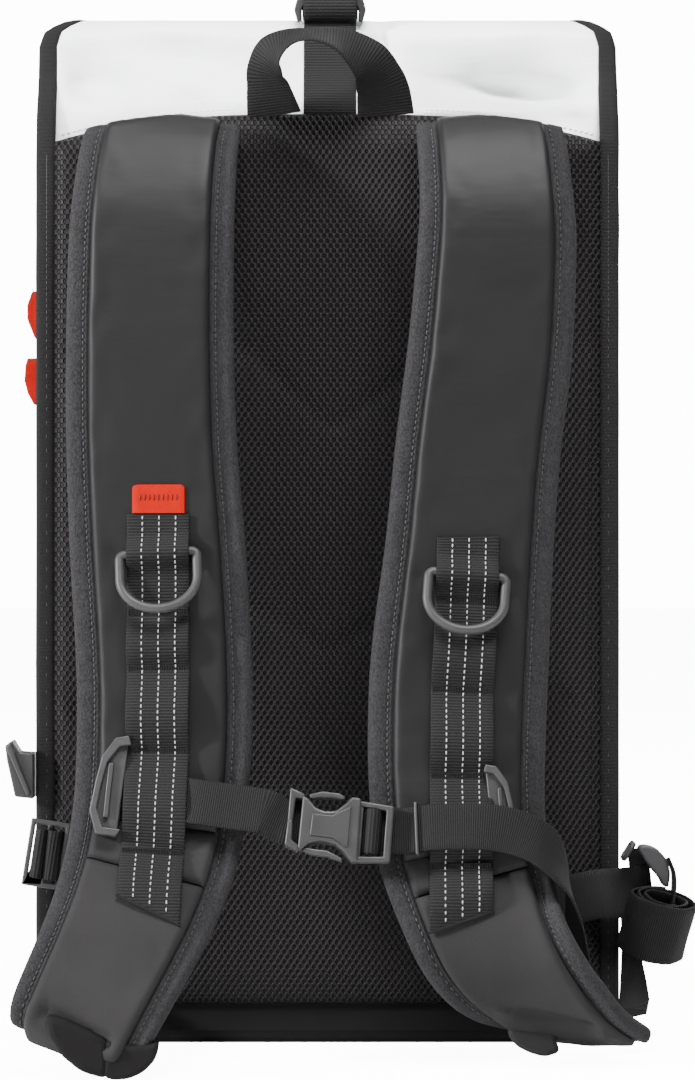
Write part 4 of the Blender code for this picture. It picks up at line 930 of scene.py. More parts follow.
def seam_places(band, offset, pitch, lift, first, last):
    """Stitch places at an offset across a band, given as a function of the half width."""
    run = band.run[-1]
    places = []
    for k in range(int(run * (last - first) / pitch)):
        position = band.station(run * first + (k + 0.5) * pitch)
        centre, across, out, half = band.frame(position)
        index = min(int(position), len(band.centres) - 2)
        along = (band.centres[index + 1] - band.centres[index]).normalized()
        places.append((centre + across * offset(half[0]) + out * (half[1] + lift), along, out))
    return places


def round_edges(piece, radius, segments, angle):
    """Edges that turn by more than an angle in degrees, rounded to a radius."""
    bevel = piece.modifiers.new("edges", "BEVEL")
    bevel.width = radius
    bevel.segments = segments
    bevel.limit_method = "ANGLE"
    bevel.angle_limit = radians(angle)
    bevel.use_clamp_overlap = True


def rounded(node, radius, material, slot="grey_plastic", segments=3):
    """A moulded piece: the node's own form with its edges rounded."""
    bm = bmesh.new()
    bm.from_mesh(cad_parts[node].data)
    bmesh.ops.remove_doubles(bm, verts=bm.verts, dist=0.00002)
    bmesh.ops.dissolve_limit(bm, angle_limit=radians(2), verts=bm.verts, edges=bm.edges)
    mesh = bpy.data.meshes.new(node + "_moulded")
    bm.to_mesh(mesh)
    bm.free()
    made = link_object(node + "_moulded", mesh, material)
    round_edges(made, radius, segments, 25)
    mesh.shade_smooth()
    mesh.set_sharp_from_angle(angle=radians(60))
    return adopt(made, slot, node)


def plate(name, place, outline, front, back, radius, material, node=None, slot="grey_plastic"):
    """A moulded plate: its outline between two depths, with rounded edges."""
    count = len(outline)
    verts = [place @ Vector((x, y, z)) for y in (front, back) for x, z in outline]
    faces = [tuple(range(count)), tuple(range(count, 2 * count))]
    faces += [(k, (k + 1) % count, count + (k + 1) % count, count + k) for k in range(count)]
    made = solid(name, verts, faces, material, sharp=60)
    round_edges(made, radius, 3, 12)
    return adopt(made, slot, *([node] if node else []))


def rail(name, points, wide, material, slot, sides=8):
    """A round rod along an open row of points, thinner at its two ends."""
    rings = []
    for index, (point, along) in enumerate(zip(points, ways(points))):
        side = along.cross(Y_AXIS if abs(along.y) < 0.9 else Z_AXIS).normalized()
        over = along.cross(side)
        reach = wide / 2 * (0.6 if index in (0, len(points) - 1) else 1.0)
        rings.append([point + (side * cos(a) + over * sin(a)) * reach for a in circle(sides)])
    return adopt(loft(name, rings, material, sharp=70), slot)


def swell(piece, held, pressure, cap, frames):
    """Cloth pressed out by its filling between the held points, no further than the cap."""
    group = piece.vertex_groups.new(name="held")
    group.add(held, 1.0, "REPLACE")
    cloth = piece.modifiers.new("cloth", "CLOTH")
    for setting, value in CLOTH_SETTINGS.items():
        setattr(cloth.settings, setting, value)
    cloth.settings.uniform_pressure_force = pressure
    cloth.settings.effector_weights.gravity = 0
    cloth.point_cache.frame_end = frames
    scene = bpy.context.scene
    for step in range(1, frames + 1):
        scene.frame_set(step)
    shaped = piece.evaluated_get(bpy.context.evaluated_depsgraph_get())
    moved = [v.co.copy() for v in shaped.data.vertices]
    piece.modifiers.remove(cloth)
    piece.vertex_groups.remove(group)
    for vertex, target in zip(piece.data.vertices, moved):
        step = target - vertex.co
        if step.length > cap:
            step *= cap / step.length
        vertex.co += step
    piece.data.update()
    scene.frame_set(1)


# The pack

def section_ring(section, inset, side_points=14, flat_points=56):
    """The ring of points of one shell section, moved inward by the inset."""
    back, front, side, back_corner, front_corner, pinch = section
    axis = (front - back).normalized()
    side, back, front = side - inset, back + axis * inset, front - axis * inset
    span = (front - back).length
    r_back = max(min(back_corner - inset, span * 0.48), 0.0001)
    r_front = max(min(front_corner - inset, span * 0.48), 0.0001)
    ring = []

    def corner(right, forward, radius):
        base = front if forward else back
        inward = -axis if forward else axis
        arc = [base + X_AXIS * right * (side - radius + radius * cos(a))
               + inward * radius * (1 - sin(a)) for a in (pi / 2 * k / 4 for k in range(5))]
        return arc if (right < 0) == (forward == 1) else arc[::-1]

    def run(start, end, count, bulge=0.0, right=0):
        for k in range(1, count):
            t = k / count
            ring.append(start.lerp(end, t) - X_AXIS * right * bulge * sin(pi * t))

    left_back, left_front = corner(-1, 0, r_back), corner(-1, 1, r_front)
    right_front, right_back = corner(1, 1, r_front), corner(1, 0, r_back)
    ring.extend(left_back)
    run(left_back[-1], left_front[0], side_points, pinch, -1)
    ring.extend(left_front)
    run(left_front[-1], right_front[0], flat_points)
    ring.extend(right_front)
    run(right_front[-1], right_back[0], side_points, pinch, 1)
    ring.extend(right_back)
    run(right_back[-1], left_back[0], flat_points)
    return ring


def shell_sections():
    """All sections: back and front middle points, side, corner radii and pinch."""
    out = []
    span = PACK_HEIGHT - SHELL_FLOOR
    for back, back_up, front, front_up, side, r_back, r_front, pinch in smooth(
            SHELL_SECTIONS, BODY_STEPS):
        out.append((Vector((0, back * HALF_DEPTH, SHELL_FLOOR + back_up * span)),
                    Vector((0, front * HALF_DEPTH, SHELL_FLOOR + front_up * span)),
                    side * SHELL_SIDE, r_back * PACK_DEPTH, r_front * PACK_DEPTH,
                    pinch * SHELL_SIDE))
    centre = Vector((0, -ROLL_LEAN, PACK_HEIGHT - (ROLL_RADIUS - ROLL_PITCH / 4) - COLLAR_HALF))
    for step in range(int(ROLL_TURNS * ROLL_STEPS) + 1):
        turns = step / ROLL_STEPS
        radius = ROLL_RADIUS - ROLL_PITCH * turns
        ray = Vector((0, -cos(2 * pi * turns), sin(2 * pi * turns)))
        out.append((centre + ray * (radius + COLLAR_HALF), centre + ray * (radius - COLLAR_HALF),
                    between(ROLL_ENDS, 360 * turns) * SHELL_SIDE, COLLAR_HALF, COLLAR_HALF, 0.0))
    return out


def collar_fold(x, z):
    """How far the collar's back face is pushed in, by side and height."""
    push = COLLAR_RIPPLE * noise.noise(Vector((x * 45, z * 60, 9)))
    for depth, height, tilt, side, tall, wide in COLLAR_FOLDS:
        push += depth * bell(z - height + tilt * (x - side), tall) * bell(x - side, wide)
    return push


def crumple(point):
    """Soft dents of the body cloth, by place."""
    broad = noise.noise(Vector((point.x * 9, point.y * 9, point.z * 7)))
    fine = noise.noise(Vector((point.x * 34, point.y * 30, point.z * 22 + 5)))
    return BROAD_DENTS * broad + FINE_DENTS * fine


def shape_shell(point, inner_way):
    """The point with its folds. The way is the section's inward direction there."""
    x, y, z = point
    free = 1 - bell(abs(x) - SHELL_SIDE, HELD_SIDE)
    fold_foot = PAD_HIGH.z - FOLD_START
    if y < COLLAR_BACK and z > fold_foot:
        return point + Y_AXIS * collar_fold(x, z) * free * ramp(z, fold_foot, fold_foot + 0.02)
    if z > NECK_HEIGHT:
        return point + Z_AXIS * CREST_RIPPLE * noise.noise(Vector((x * 22, 0, 3))) * free
    if y < -HALF_DEPTH + BACK_FLAT:
        return point
    lower = ramp(z - BOOT_HEIGHT, 0.004, 0.054)
    edge = ramp(y + HALF_DEPTH, 0.0, 0.03)
    top = ramp(z, NECK_HEIGHT, NECK_HEIGHT - 0.04)
    return point + inner_way * crumple(point) * lower * edge * top


def build_shell():
    """The white bag: outer and inner walls through its sections, down to a closed floor."""
    outer, inner = [], []
    for section in shell_sections():
        way = (section[0] - section[1]).normalized()
        for rings, inset in ((outer, 0.0), (inner, SHELL_WALL)):
            ring = []
            for point in section_ring(section, inset):
                side_share = min(abs(point.x) / SHELL_SIDE, 1.0) ** 6
                inward = (way * (1 - side_share) - X_AXIS * (1 if point.x > 0 else -1)
                          * side_share).normalized()
                ring.append(shape_shell(point, inward))
            rings.append(ring)
    inner[0] = [p + Z_AXIS * SHELL_WALL for p in inner[0]]
    adopt(loft("white_bag", outer + inner[::-1], WHITE, sharp=70), "white_fabric", "pack_shell")


def build_boot():
    """The black boot round the bottom of the bag."""
    sections = [s for s in shell_sections() if s[0].z < BOOT_HEIGHT]
    heights = [0.0] + [s[0].z for s in sections[1:]] + [BOOT_HEIGHT]
    outer, inner = [], []
    for (back, front, *rest), height in zip(sections + [sections[-1]], heights):
        level = (Vector((0, back.y, height)), Vector((0, front.y, height)), *rest)
        turned_in = BOOT_RIM if height == BOOT_HEIGHT else 0.0
        outer.append(section_ring(level, turned_in - GAP - BOOT_WALL, 10, 30))
        inner.append(section_ring(level, -GAP, 10, 30))
    inner[0] = [p + Z_AXIS * BOOT_WALL for p in inner[0]]
    adopt(loft("black_boot", outer + inner[::-1], BLACK_AND_FOLD_SHADE), "black_fabric", "base_panel")


def quilt(x, z):
    """Depth of the sewn channels, from 0 to 1."""
    return max(bell(z - between(line, x / HALF_WIDTH) * PACK_HEIGHT, CHANNEL_WIDTH)
               for line in QUILT_LINES)


def build_pad():
    """The padded back panel: cloth pressed out between its rim and its sewn channels."""
    foot = BOOT_HEIGHT + GAP
    thick = PAD_HIGH.y - PAD_LOW.y
    columns, rows = PAD_GRID
    full, size = columns + 1, (columns + 1) * (rows + 1)
    verts, faces, held = [], [], []
    for front in (True, False):
        for j in range(rows + 1):
            for i in range(full):
                x = (-1 + 2 * i / columns) * SHELL_SIDE
                top = pad_top(x)
                z = foot + (top - foot) * j / rows
                rim = min(SHELL_SIDE - abs(x), z - foot, top - z)
                y, sewn = PAD_HIGH.y, 1.0
                if front:
                    sewn = quilt(x, z)
                    y -= thick * (PAD_RIM_SHARE + PAD_CROWN_SHARE * round_over(rim, PAD_ROUND))
                    y += CHANNEL_DEPTH * sewn * min(rim / 0.02, 1.0)
                if rim < PAD_HELD_RIM or sewn > PAD_HELD_SEWN:
                    held.append(len(verts))
                verts.append(Vector((x, y, z)))
    for first in (0, size):
        for j in range(rows):
            for a in range(first + j * full, first + j * full + columns):
                faces.append((a, a + 1, a + full + 1, a + full))
    border = (list(range(full)) + [j * full + columns for j in range(1, rows + 1)]
              + [rows * full + i for i in range(columns - 1, -1, -1)]
              + [j * full for j in range(rows - 1, 0, -1)])
    faces += [(a, b, b + size, a + size) for a, b in zip(border, border[1:] + border[:1])]
    pad = solid("back_cushion", verts, faces, MESH, sharp=60)
    swell(pad, held, 1.2, 0.0022, 14)
    soft = pad.modifiers.new("soft", "SUBSURF")
    soft.levels = soft.render_levels = 1
    adopt(pad, "mesh_fabric", "back_pad")
    build_panel_edge(foot)
    build_collar_seam()


def build_panel_edge(foot):
    """The panel's black seam allowance, which runs under the bindings."""
    half, steps = SHELL_SIDE + SEAM_ALLOWANCE, 24
    back, front = -HALF_DEPTH - 0.0001, -HALF_DEPTH - 0.0019
    rings = []
    for k in range(steps + 1):
        u = -1 + 2 * k / steps
        top = pad_top(u * SHELL_SIDE) - 0.001
        rings.append([Vector((u * half, y, z)) for y, z in
                      ((back, foot), (back, top), (front, top), (front, foot))])
    adopt(loft("panel_edge", rings, BLACK_AND_FOLD_SHADE), "mesh_fabric")


def build_collar_seam():
    """Fine white stitches along the lower edge of the collar, apart from under the closure."""
    places, count = [], 100
    for k in range(count):
        x = (-1 + 2 * (k + 0.5) / count) * (SHELL_SIDE - 0.004)
        if not -0.052 < x < 0.056:
            at = shape_shell(Vector((x, -HALF_DEPTH, pad_top(x) + 0.0030)), Y_AXIS)
            places.append((at - Y_AXIS * 0.0001, X_AXIS, -Y_AXIS))
    adopt(stitches("collar_seam", places, 0.0020, 0.00030, WHITE_THREAD), "white_fabric")


def build_binding(side, sign):
    """A woven strip down the long edge, curling in over the end of the roll."""
    sections = shell_sections()[:BODY_COUNT + BINDING_TURNED]
    last = len(sections) - 1
    rings, uvs = [], []
    run = 0.0
    for index, (back, front, reach, *_) in enumerate(sections):
        axis = (front - back).normalized()
        share = ramp(back.z / PACK_HEIGHT, BINDING_TURN, BINDING_TURN + 0.08)
        middle = -BINDING_STAND * (1 - share) + COLLAR_HALF * share
        if index == 0:
            reach, back = SHELL_SIDE, Vector((0, -HALF_DEPTH, 0.0))
        else:
            run += (back - sections[index - 1][0]).length
        taper = min(1.0, 0.35 + (last - index) * 0.16)
        half = (BINDING_WIDTH + BINDING_LAP) * taper / 2
        thick = BINDING_THICK / 2 * min(1.0, taper + 0.2)
        wander = 0.0004 * noise.noise(Vector((back.z * 40, sign, 0)))
        ring, uv = [], []
        for x, y in tape_profile((half, thick), 5):
            crown = 1 - 0.3 * (x / half) ** 2
            ring.append(back + axis * (middle + y * crown)
                        + X_AXIS * sign * (reach + GAP - BINDING_LAP + half + x + wander * (x > 0)))
            uv.append((x, run))
        rings.append(ring)
        uvs.append(uv)
    node = f"side_binding_{side}"
    adopt(loft(node + "_tape", rings, BINDING, uvs), "binding_fabric", node)
    places = []
    for lower, upper in zip(rings, rings[1:]):
        short = (upper[0] - lower[0]).length < 0.006
        for t in (0.5,) if short else (0.12, 0.37, 0.62, 0.87):
            start = min(lower, key=lambda p: (p.y, abs(abs(p.x) - SHELL_SIDE - 0.0025)))
            index = lower.index(start)
            point = start.lerp(upper[index], t)
            if point.z < PACK_HEIGHT * BINDING_TURN:
                places.append((point, (upper[index] - start).normalized(), -Y_AXIS))
    seam = stitches(node + "_tape_seam", places, 0.0026, 0.00028, DARK_THREAD)
    adopt(seam, "binding_fabric")


# The harness

def pad_section(half_width, half_thick):
    """A padded section: rounded rims, a stitch groove each side and a flat middle."""
    edge = FACE_SHARE * half_width
    groove = edge + SEAM_INSET
    rim = half_thick * 0.98
    turns = circle(8, pi) + [pi]
    out = [(half_width - rim + rim * cos(pi / 2 - a), half_thick * sin(pi / 2 - a))
           for a in turns]
    out += [((half_width - rim) * (1 - k / 6), -half_thick) for k in range(1, 12)]
    out += [(-half_width + rim + rim * cos(-pi / 2 - a), half_thick * sin(-pi / 2 - a))
            for a in turns]
    marks = {0.0, edge * 0.5, edge - 0.001, edge, edge + 0.0012, groove - 0.0016,
             groove - 0.0007, groove, groove + 0.0007, groove + 0.0018}
    upper = sorted({s * m for s in (1, -1) for m in marks if m < half_width - rim - 0.0004})
    for x in upper:
        dip = 0.0009 * bell(abs(x) - groove, 0.0010) + 0.0010 * bell(abs(x) - edge, 0.0013)
        out.append((x, half_thick - dip))
    return out


def strap_body(side, strap):
    """The padded strap with its knit border and the seam along each side."""
    fine = finer(strap, 0.0045)
    wide = max(h[0] for h in fine.half)
    section = pad_section(wide, STRAP_THICK / 2)

    def shape(x, y, centre, across, out, half, run, along):
        x *= half[0] / wide
        lumps = BORDER_LUMPS * noise.noise(Vector((x * 60, run * 85, 7)))
        edge_share = ramp(abs(x) - FACE_SHARE * half[0], 0.0, 0.01)
        rise = y * half[1] / (STRAP_THICK / 2) + lumps * edge_share
        return flush(centre + across * x + out * rise), (x, run)

    body = swept(f"strap_pad_{side}", fine, KNIT, lambda half: section, shape, 75)
    groove = FACE_SHARE * wide + SEAM_INSET
    held = [i * len(section) + k for i in range(len(fine.centres))
            for k, (x, y) in enumerate(section)
            if y < 0 or abs(x) < FACE_SHARE * wide or abs(abs(x) - groove) < 0.0005]
    swell(body, held, 0.8, 0.0009, 10)
    adopt(body, "strap_border", f"shoulder_strap_{side}")
    places = []
    for sign in (-1, 1):
        places += seam_places(fine, lambda h, s=sign: s * (FACE_SHARE * h + SEAM_INSET),
                              0.0034, -0.0002, 0.01, 0.99)
    places = [place for place in places if (flush(place[0]) - place[0]).length < 0.0001]
    adopt(stitches(f"strap_seam_{side}", places, 0.0026, 0.00036, DARK_THREAD), "strap_border")


def strap_layer(strap, first, last):
    """A panel's band, which lies on the outer side of a strap."""
    frames = [strap.frame(p) for p in strap.cut(first, last)]
    lift = LAYER_GAP + FACE_THICK / 2
    layer = Band([c + o * (h[1] + lift) for c, a, o, h in frames], [a for c, a, o, h in frames],
                 [2 * h[0] * FACE_SHARE for c, a, o, h in frames], [FACE_THICK] * len(frames))
    layer.out = [o for c, a, o, h in frames]
    layer.across = [a for c, a, o, h in frames]
    return layer


def creased(point, out):
    """The point pressed in along the creases and beside the ring bars, and raised below the
    creases."""
    lift = 0.0
    for x0, z0, x1, z1 in CREASES:
        start, way = Vector((x0, z0)), Vector((x1 - x0, z1 - z0))
        place = Vector((point.x, point.z)) - start
        share = min(max(place.dot(way) / way.length_squared, 0.0), 1.0)
        apart = (place - way * share).length
        below = (place.x * way.y - place.y * way.x) > 0
        lift -= CREASE_DEPTH * bell(apart, 0.0030)
        lift += CREASE_FOLD * bell(apart - 0.0085, 0.0055) if below else 0.0
    for up, side in RINGS.values():
        beside = abs(point.x - side * HALF_WIDTH) - RING_WIDTH / 2
        lift -= RING_DENT * bell(beside, 0.0060) * bell(point.z - up * PACK_HEIGHT, 0.0070)
    return point + out * lift


def face_panel(name, layer, material, slot, nodes, pucker, seed):
    """A sewn panel with a rounded edge, a slight crown and puckers beside its seams."""
    fine = finer(layer, 0.0030)
    columns = 30
    section = [((-1 + 2 * k / columns) * face, face) for face in (1, -1)
               for k in range(columns + 1)]

    def shape(u, face, centre, across, out, half, run, along):
        u *= 1.5 - 0.5 * u * u
        x, y = u * half[0], -half[1]
        if face > 0:
            rim, end = half[0] - abs(x), min(run, fine.run[-1] - run)
            crown = round_over(rim, 0.0035) * (0.72 + 0.28 * round_over(end, 0.004))
            wave = noise.noise(Vector((u * 3 + seed, run * 70, seed)))
            y += 2 * half[1] * crown
            y += pucker * wave * bell(rim - 0.006, 0.009) * min(rim / 0.003, 1.0)
        point = flush(centre + across * x + out * y)
        return creased(point, out) if face > 0 else point, (x, run)

    panel = swept(name, fine, material, lambda half: section, shape, 75)
    adopt(panel, slot, *nodes)


def build_strap(side, strap):
    """A strap: its padded body, and the upper panel, cuff and end panel sewn on it."""
    strap_body(side, strap)
    change_up, seam_up, end_rows, seed = STRAP_PANELS[side]
    change, seam = strap.level(change_up), strap.level(seam_up)
    last = len(strap.centres) - 1 - end_rows * STRAP_STEPS
    slit = 0.0006 / (strap.centres[int(seam)] - strap.centres[int(seam) + 1]).length
    face_panel(f"strap_panel_{side}", strap_layer(strap, 0.0, change), SATIN, "strap_face",
               [f"strap_face_{side}"], 0.0008, seed)
    face_panel(f"strap_cuff_{side}", strap_layer(strap, change + 0.05, seam - slit), MATT,
               "strap_end_face", [], 0.0008, seed + 2)
    face_panel(f"strap_end_panel_{side}", strap_layer(strap, seam + slit, last), MATT,
               "strap_end_face", [f"strap_end_face_{side}"], 0.0006, seed + 1)


def build_strap_ends():
    """The folded ends at the two lower ends: the left lip and curl are near-black plates, painted
    shade of the fold and of the curl's hollow, and the right tab is matt cloth.
    """
    # The lip and curl: near-black plates that paint the shade of the left strap's fold.
    for name, outline, material, slot, y, front, back, radius in (
            ("strap_curl_shade_left", CURL_OUTLINE, BLACK_AND_FOLD_SHADE, "strap_border", -0.2090, -0.0125, 0.0040,
             0.0030),
            ("strap_lip_shade_left", LIP_OUTLINE, BLACK_AND_FOLD_SHADE, "strap_border", -0.2130, -0.0085, 0.0040,
             0.0036),
            ("strap_tab_right", TAB_OUTLINE, MATT, "strap_end_face", -0.1560, -0.0070, 0.0030,
             0.0025)):
        plate(name, Matrix.Translation(Y_AXIS * y), outline, front, back, radius, material,
              slot=slot)


def ring_bump(distance):
    """Lift of the daisy chain over the ring bar, by distance along the strap."""
    crest = RING_WIRE + 2 * GAP
    return crest * cos(pi / 2 * distance / RING_BUMP) ** 2 if abs(distance) < RING_BUMP else 0.0


def loop_lift(loops, up):
    """How far the webbing stands off between its tacks: slowly up and steeply down again."""
    for top, bottom, height in loops:
        if top >= up >= bottom:
            return height * sin(pi * ((top - up) / (top - bottom)) ** 1.5)
    return 0.0


def daisy_band(strap, table, loops, ring_up):
    """A webbing ladder that bends where its strap bends and rises over the ring's bar."""
    rows = [(strap.level(up), where) for up, where in smooth(table, 2)]
    first, last = rows[0][0], rows[-1][0]
    points, across = [], []
    for k in range(DAISY_STATIONS + 1):
        position = first + (last - first) * k / DAISY_STATIONS
        centre, over, *_ = strap.frame(position)
        lift = loop_lift(loops, centre.z / PACK_HEIGHT)
        lift += ring_bump(centre.z - ring_up * PACK_HEIGHT)
        points.append(strap.at(position, between(rows, position) * HALF_WIDTH, DAISY_BASE + lift))
        across.append(over)
    return ribbon(points, across, DAISY_WIDTH)


def build_daisy(side, strap, table, loops):
    """A webbing ladder with three rows of light stitches, tacks and a slit at its end; the tacks
    and the slit are drawn near-black as painted shade.
    """
    band = daisy_band(strap, table, loops, RINGS[side][0])
    fine = finer(band, 0.0012)
    length = fine.run[-1]
    slant = DAISY_SLANT[side]

    def slanted(run, x, half):
        return max((run - length + 0.030) / 0.030, 0.0) * slant * x / half

    def shape(x, y, centre, across, out, half, run, along):
        sway = 0.0003 * noise.noise(Vector((x * RIPPLE_ACROSS, run * RIPPLE_ALONG, 2.0)))
        shift = slanted(run, x, half[0])
        return centre + across * x + out * (y + sway) + along * shift, (x, run + shift)

    web = swept(f"daisy_web_{side}", fine, WEBBING, tape_profile, shape)
    adopt(web, "webbing", f"daisy_chain_{side}")
    places = []
    for share in (-0.5, 0.03, 0.56):
        for k in range(int(length / DAISY_PITCH)):
            run = (k + 0.5) * DAISY_PITCH
            position = fine.station(run)
            centre, across, out, half = fine.frame(position)
            along = fine.along[min(int(position), len(fine.along) - 1)]
            x = share * half[0]
            places.append((centre + across * x + out * (half[1] + 0.00022)
                           + along * slanted(run, x, half[0]), along, out))
    adopt(stitches(f"daisy_stitches_{side}", places, 0.0021, 0.00040, LIGHT_THREAD), "webbing")
    # Tacks: rows of near-black stitches, which paint the shade where each loop dips back to the
    # strap.
    places, count = [], 24
    for top, *_ in loops:
        centre, across, out, half = band.frame(band.level(top))
        for row in (-2.0, -1.0, 0.0, 1.0, 2.0):
            for k in range(count):
                x = (-1 + 2 * (k + 0.5) / count) * 0.96 * half[0]
                places.append((centre + across * x + Z_AXIS * row * 0.0008
                               + out * (half[1] + 0.0001), across, out))
    adopt(stitches(f"daisy_tack_shade_{side}", places, 0.0019, 0.00050, GROOVE_SHADE), "webbing")
    # The slit: a near-black rod across the webbing's end, a painted shadow line.
    centre, across, out, half = fine.frame(fine.station(length))
    slit = [centre + across * half[0] * u * 1.04 + fine.along[-1] * (slant * u + 0.0006)
            + out * 0.0003 for u in (-1.0, -0.5, 0.0, 0.5, 1.0)]
    rail(f"daisy_slit_shade_{side}", slit, 0.0022, GROOVE_SHADE, "webbing")


def ring_points(seat):
    """The middle line of a D-ring: its straight bar, rounded corners, legs and bow."""
    half = (RING_WIDTH - RING_WIRE) / 2
    drop = RING_DROP - RING_WIRE
    corner = RING_CORNER
    shoulder = drop - half * 0.82
    points = [Vector((-half + corner + 2 * (half - corner) * k / 8, 0, 0)) for k in range(9)]
    points += [Vector((half - corner + corner * sin(a), 0, -corner + corner * cos(a)))
               for a in circle(4, pi / 2)[1:] + [pi / 2]]
    points += [Vector((half, 0, -corner - (shoulder - corner) * k / 4)) for k in range(1, 5)]
    points += [Vector((half * cos(a), 0, -shoulder - (drop - shoulder) * sin(a)))
               for a in circle(28, pi)[1:]]
    points += [Vector((-half, 0, -shoulder + (shoulder - corner) * k / 4)) for k in range(5)]
    points += [Vector((-half + corner - corner * cos(a), 0, -corner + corner * sin(a)))
               for a in circle(4, pi / 2)[1:]]
    return [seat @ p for p in points]


def build_ring(side, strap):
    """A D-ring, which rides on its own body."""
    up, where = RINGS[side]
    seat = strap.seat(strap.level(up), where * HALF_WIDTH, FACE_THICK + 2 * GAP + RING_WIRE / 2)
    seat = seat @ Matrix.Rotation(-RING_TILT, 4, "X")
    made = tube(f"ring_{side}", ring_points(seat), RING_WIRE / 2, RING_PLASTIC)
    adopt(made, "grey_plastic", f"d_ring_{side}", body=f"ring_{side}")


def build_tag(strap):
    """A plain tag with rounded upper corners and a row of plain ribs."""
    rows = TAG_CORNER + tuple((TAG_CORNER[-1][0] - TAG_DROP * k / 8, 1.0) for k in range(1, 9))
    levels = [strap.level(up) for up, _ in rows]
    points = [strap.at(level, RINGS["left"][1] * HALF_WIDTH,
                       FACE_THICK + 2 * GAP + TAG_THICK / 2) for level in levels]
    band = Band(points, [strap.frame(level)[1] for level in levels],
                [TAG_WIDTH * share for _, share in rows], [TAG_THICK] * len(rows))
    adopt(tape("tag_plate", band, ORANGE), "tag_rubber", "strap_tag")
    centre, across, out, half = band.frame(band.level(TAG_RIB_UP))
    ribs = [(centre + across * (k - 4) * TAG_RIB_PITCH + out * (half[1] + 0.0001), Z_AXIS, out)
            for k in range(9)]
    adopt(stitches("tag_ribs", ribs, 0.0042, 0.00045, RIB_SHADE), "tag_rubber")


def build_hook(side, strap):
    """A clip plate with a raised rim, part of it under the daisy chain."""
    up, where, mirror, size = HOOKS[side]
    seat = strap.seat(strap.level(up), where * HALF_WIDTH, FACE_THICK + 0.0024)

    def scaled(outline):
        return [(x * size * mirror, z * size) for x, z in outline]

    outer = scaled(HOOK_OUTLINE)
    inner = [(x * 0.90 + 0.0002, z * 0.84) for x, z in outer]
    plate(f"clip_plate_{side}", seat, outer, -0.0042, 0.0, 0.0008, PLASTIC,
          f"sternum_hook_{side}")
    plate(f"clip_rim_{side}", seat, outer + inner[::-1], -0.0070, -0.0036, 0.0007, RING_PLASTIC)
    plate(f"clip_bar_{side}", seat, scaled(HOOK_BAR), -0.0064, -0.0030, 0.0006, PLASTIC)


def sternum_seat():
    """The middle of the fastened buckle: x along the webbing, z up, -y outward."""
    place = Matrix.Translation(spot(0.052, 0.2245, 0.630))
    return place @ Matrix.Rotation(-radians(17.0), 4, "X") @ Matrix.Rotation(radians(4.5), 4, "Y")


def build_sternum():
    """The fastened sternum strap: its two webs, the buckle's parts and the web keeper."""
    seat = sternum_seat()
    upright = (seat.to_3x3() @ Z_AXIS).normalized()
    behind = BAR_BACK + 1.5 * GAP + WEB_THICK / 2
    for side, sign, table in (("left", -1, STERNUM_LEFT), ("right", 1, STERNUM_RIGHT)):
        points = [seat @ Vector((sign * x, y, 0)) for x, y in
                  ((0.0215, behind - 0.0006), (0.0233, behind), (0.0268, behind),
                   (0.0330, behind))]
        rows = smooth(table, 6)
        twists = [0] * len(points) + [row[3] for row in rows]
        points += [spot(*row[:3]) for row in rows]
        band = finer(ribbon(points, carried(points, upright, twists), STERNUM_WIDTH), WEB_STEP)
        web = tape(f"chest_web_{side}", band, DARK_WEBBING, 0.0005, 4.0 + sign)
        adopt(web, "webbing", f"sternum_web_{side}")
    for name, outline, front, back, radius, node in STERNUM_PLATES:
        plate(name, seat, outline, front, back, radius, PLASTIC, node)
    fold = [seat @ Vector((0.0160 - 0.0046 * cos(a), 0.0016 - 0.0062 * sin(a), -0.0028))
            for a in circle(16, pi) + [pi]]
    band = ribbon(fold, upright, STERNUM_WIDTH * 0.98)
    adopt(tape("plug_fold", band, WEBBING), "webbing")
    rounded("web_keeper", 0.0003, RING_PLASTIC, segments=2)


def build_handle():
    """The flat carry loop at the top."""
    rows = smooth(HANDLE_EDGES, 8)
    outer = [spot(*row[:3]) for row in rows]
    inner = [spot(*row[3:]) for row in rows]
    centres = [(a + b) / 2 for a, b in zip(outer, inner)]
    band = Band(centres, [b - a for a, b in zip(outer, inner)],
                [(b - a).length for a, b in zip(outer, inner)], [WEB_THICK] * len(rows))
    adopt(tape("carry_loop", band, WEBBING), "webbing", "grab_handle")


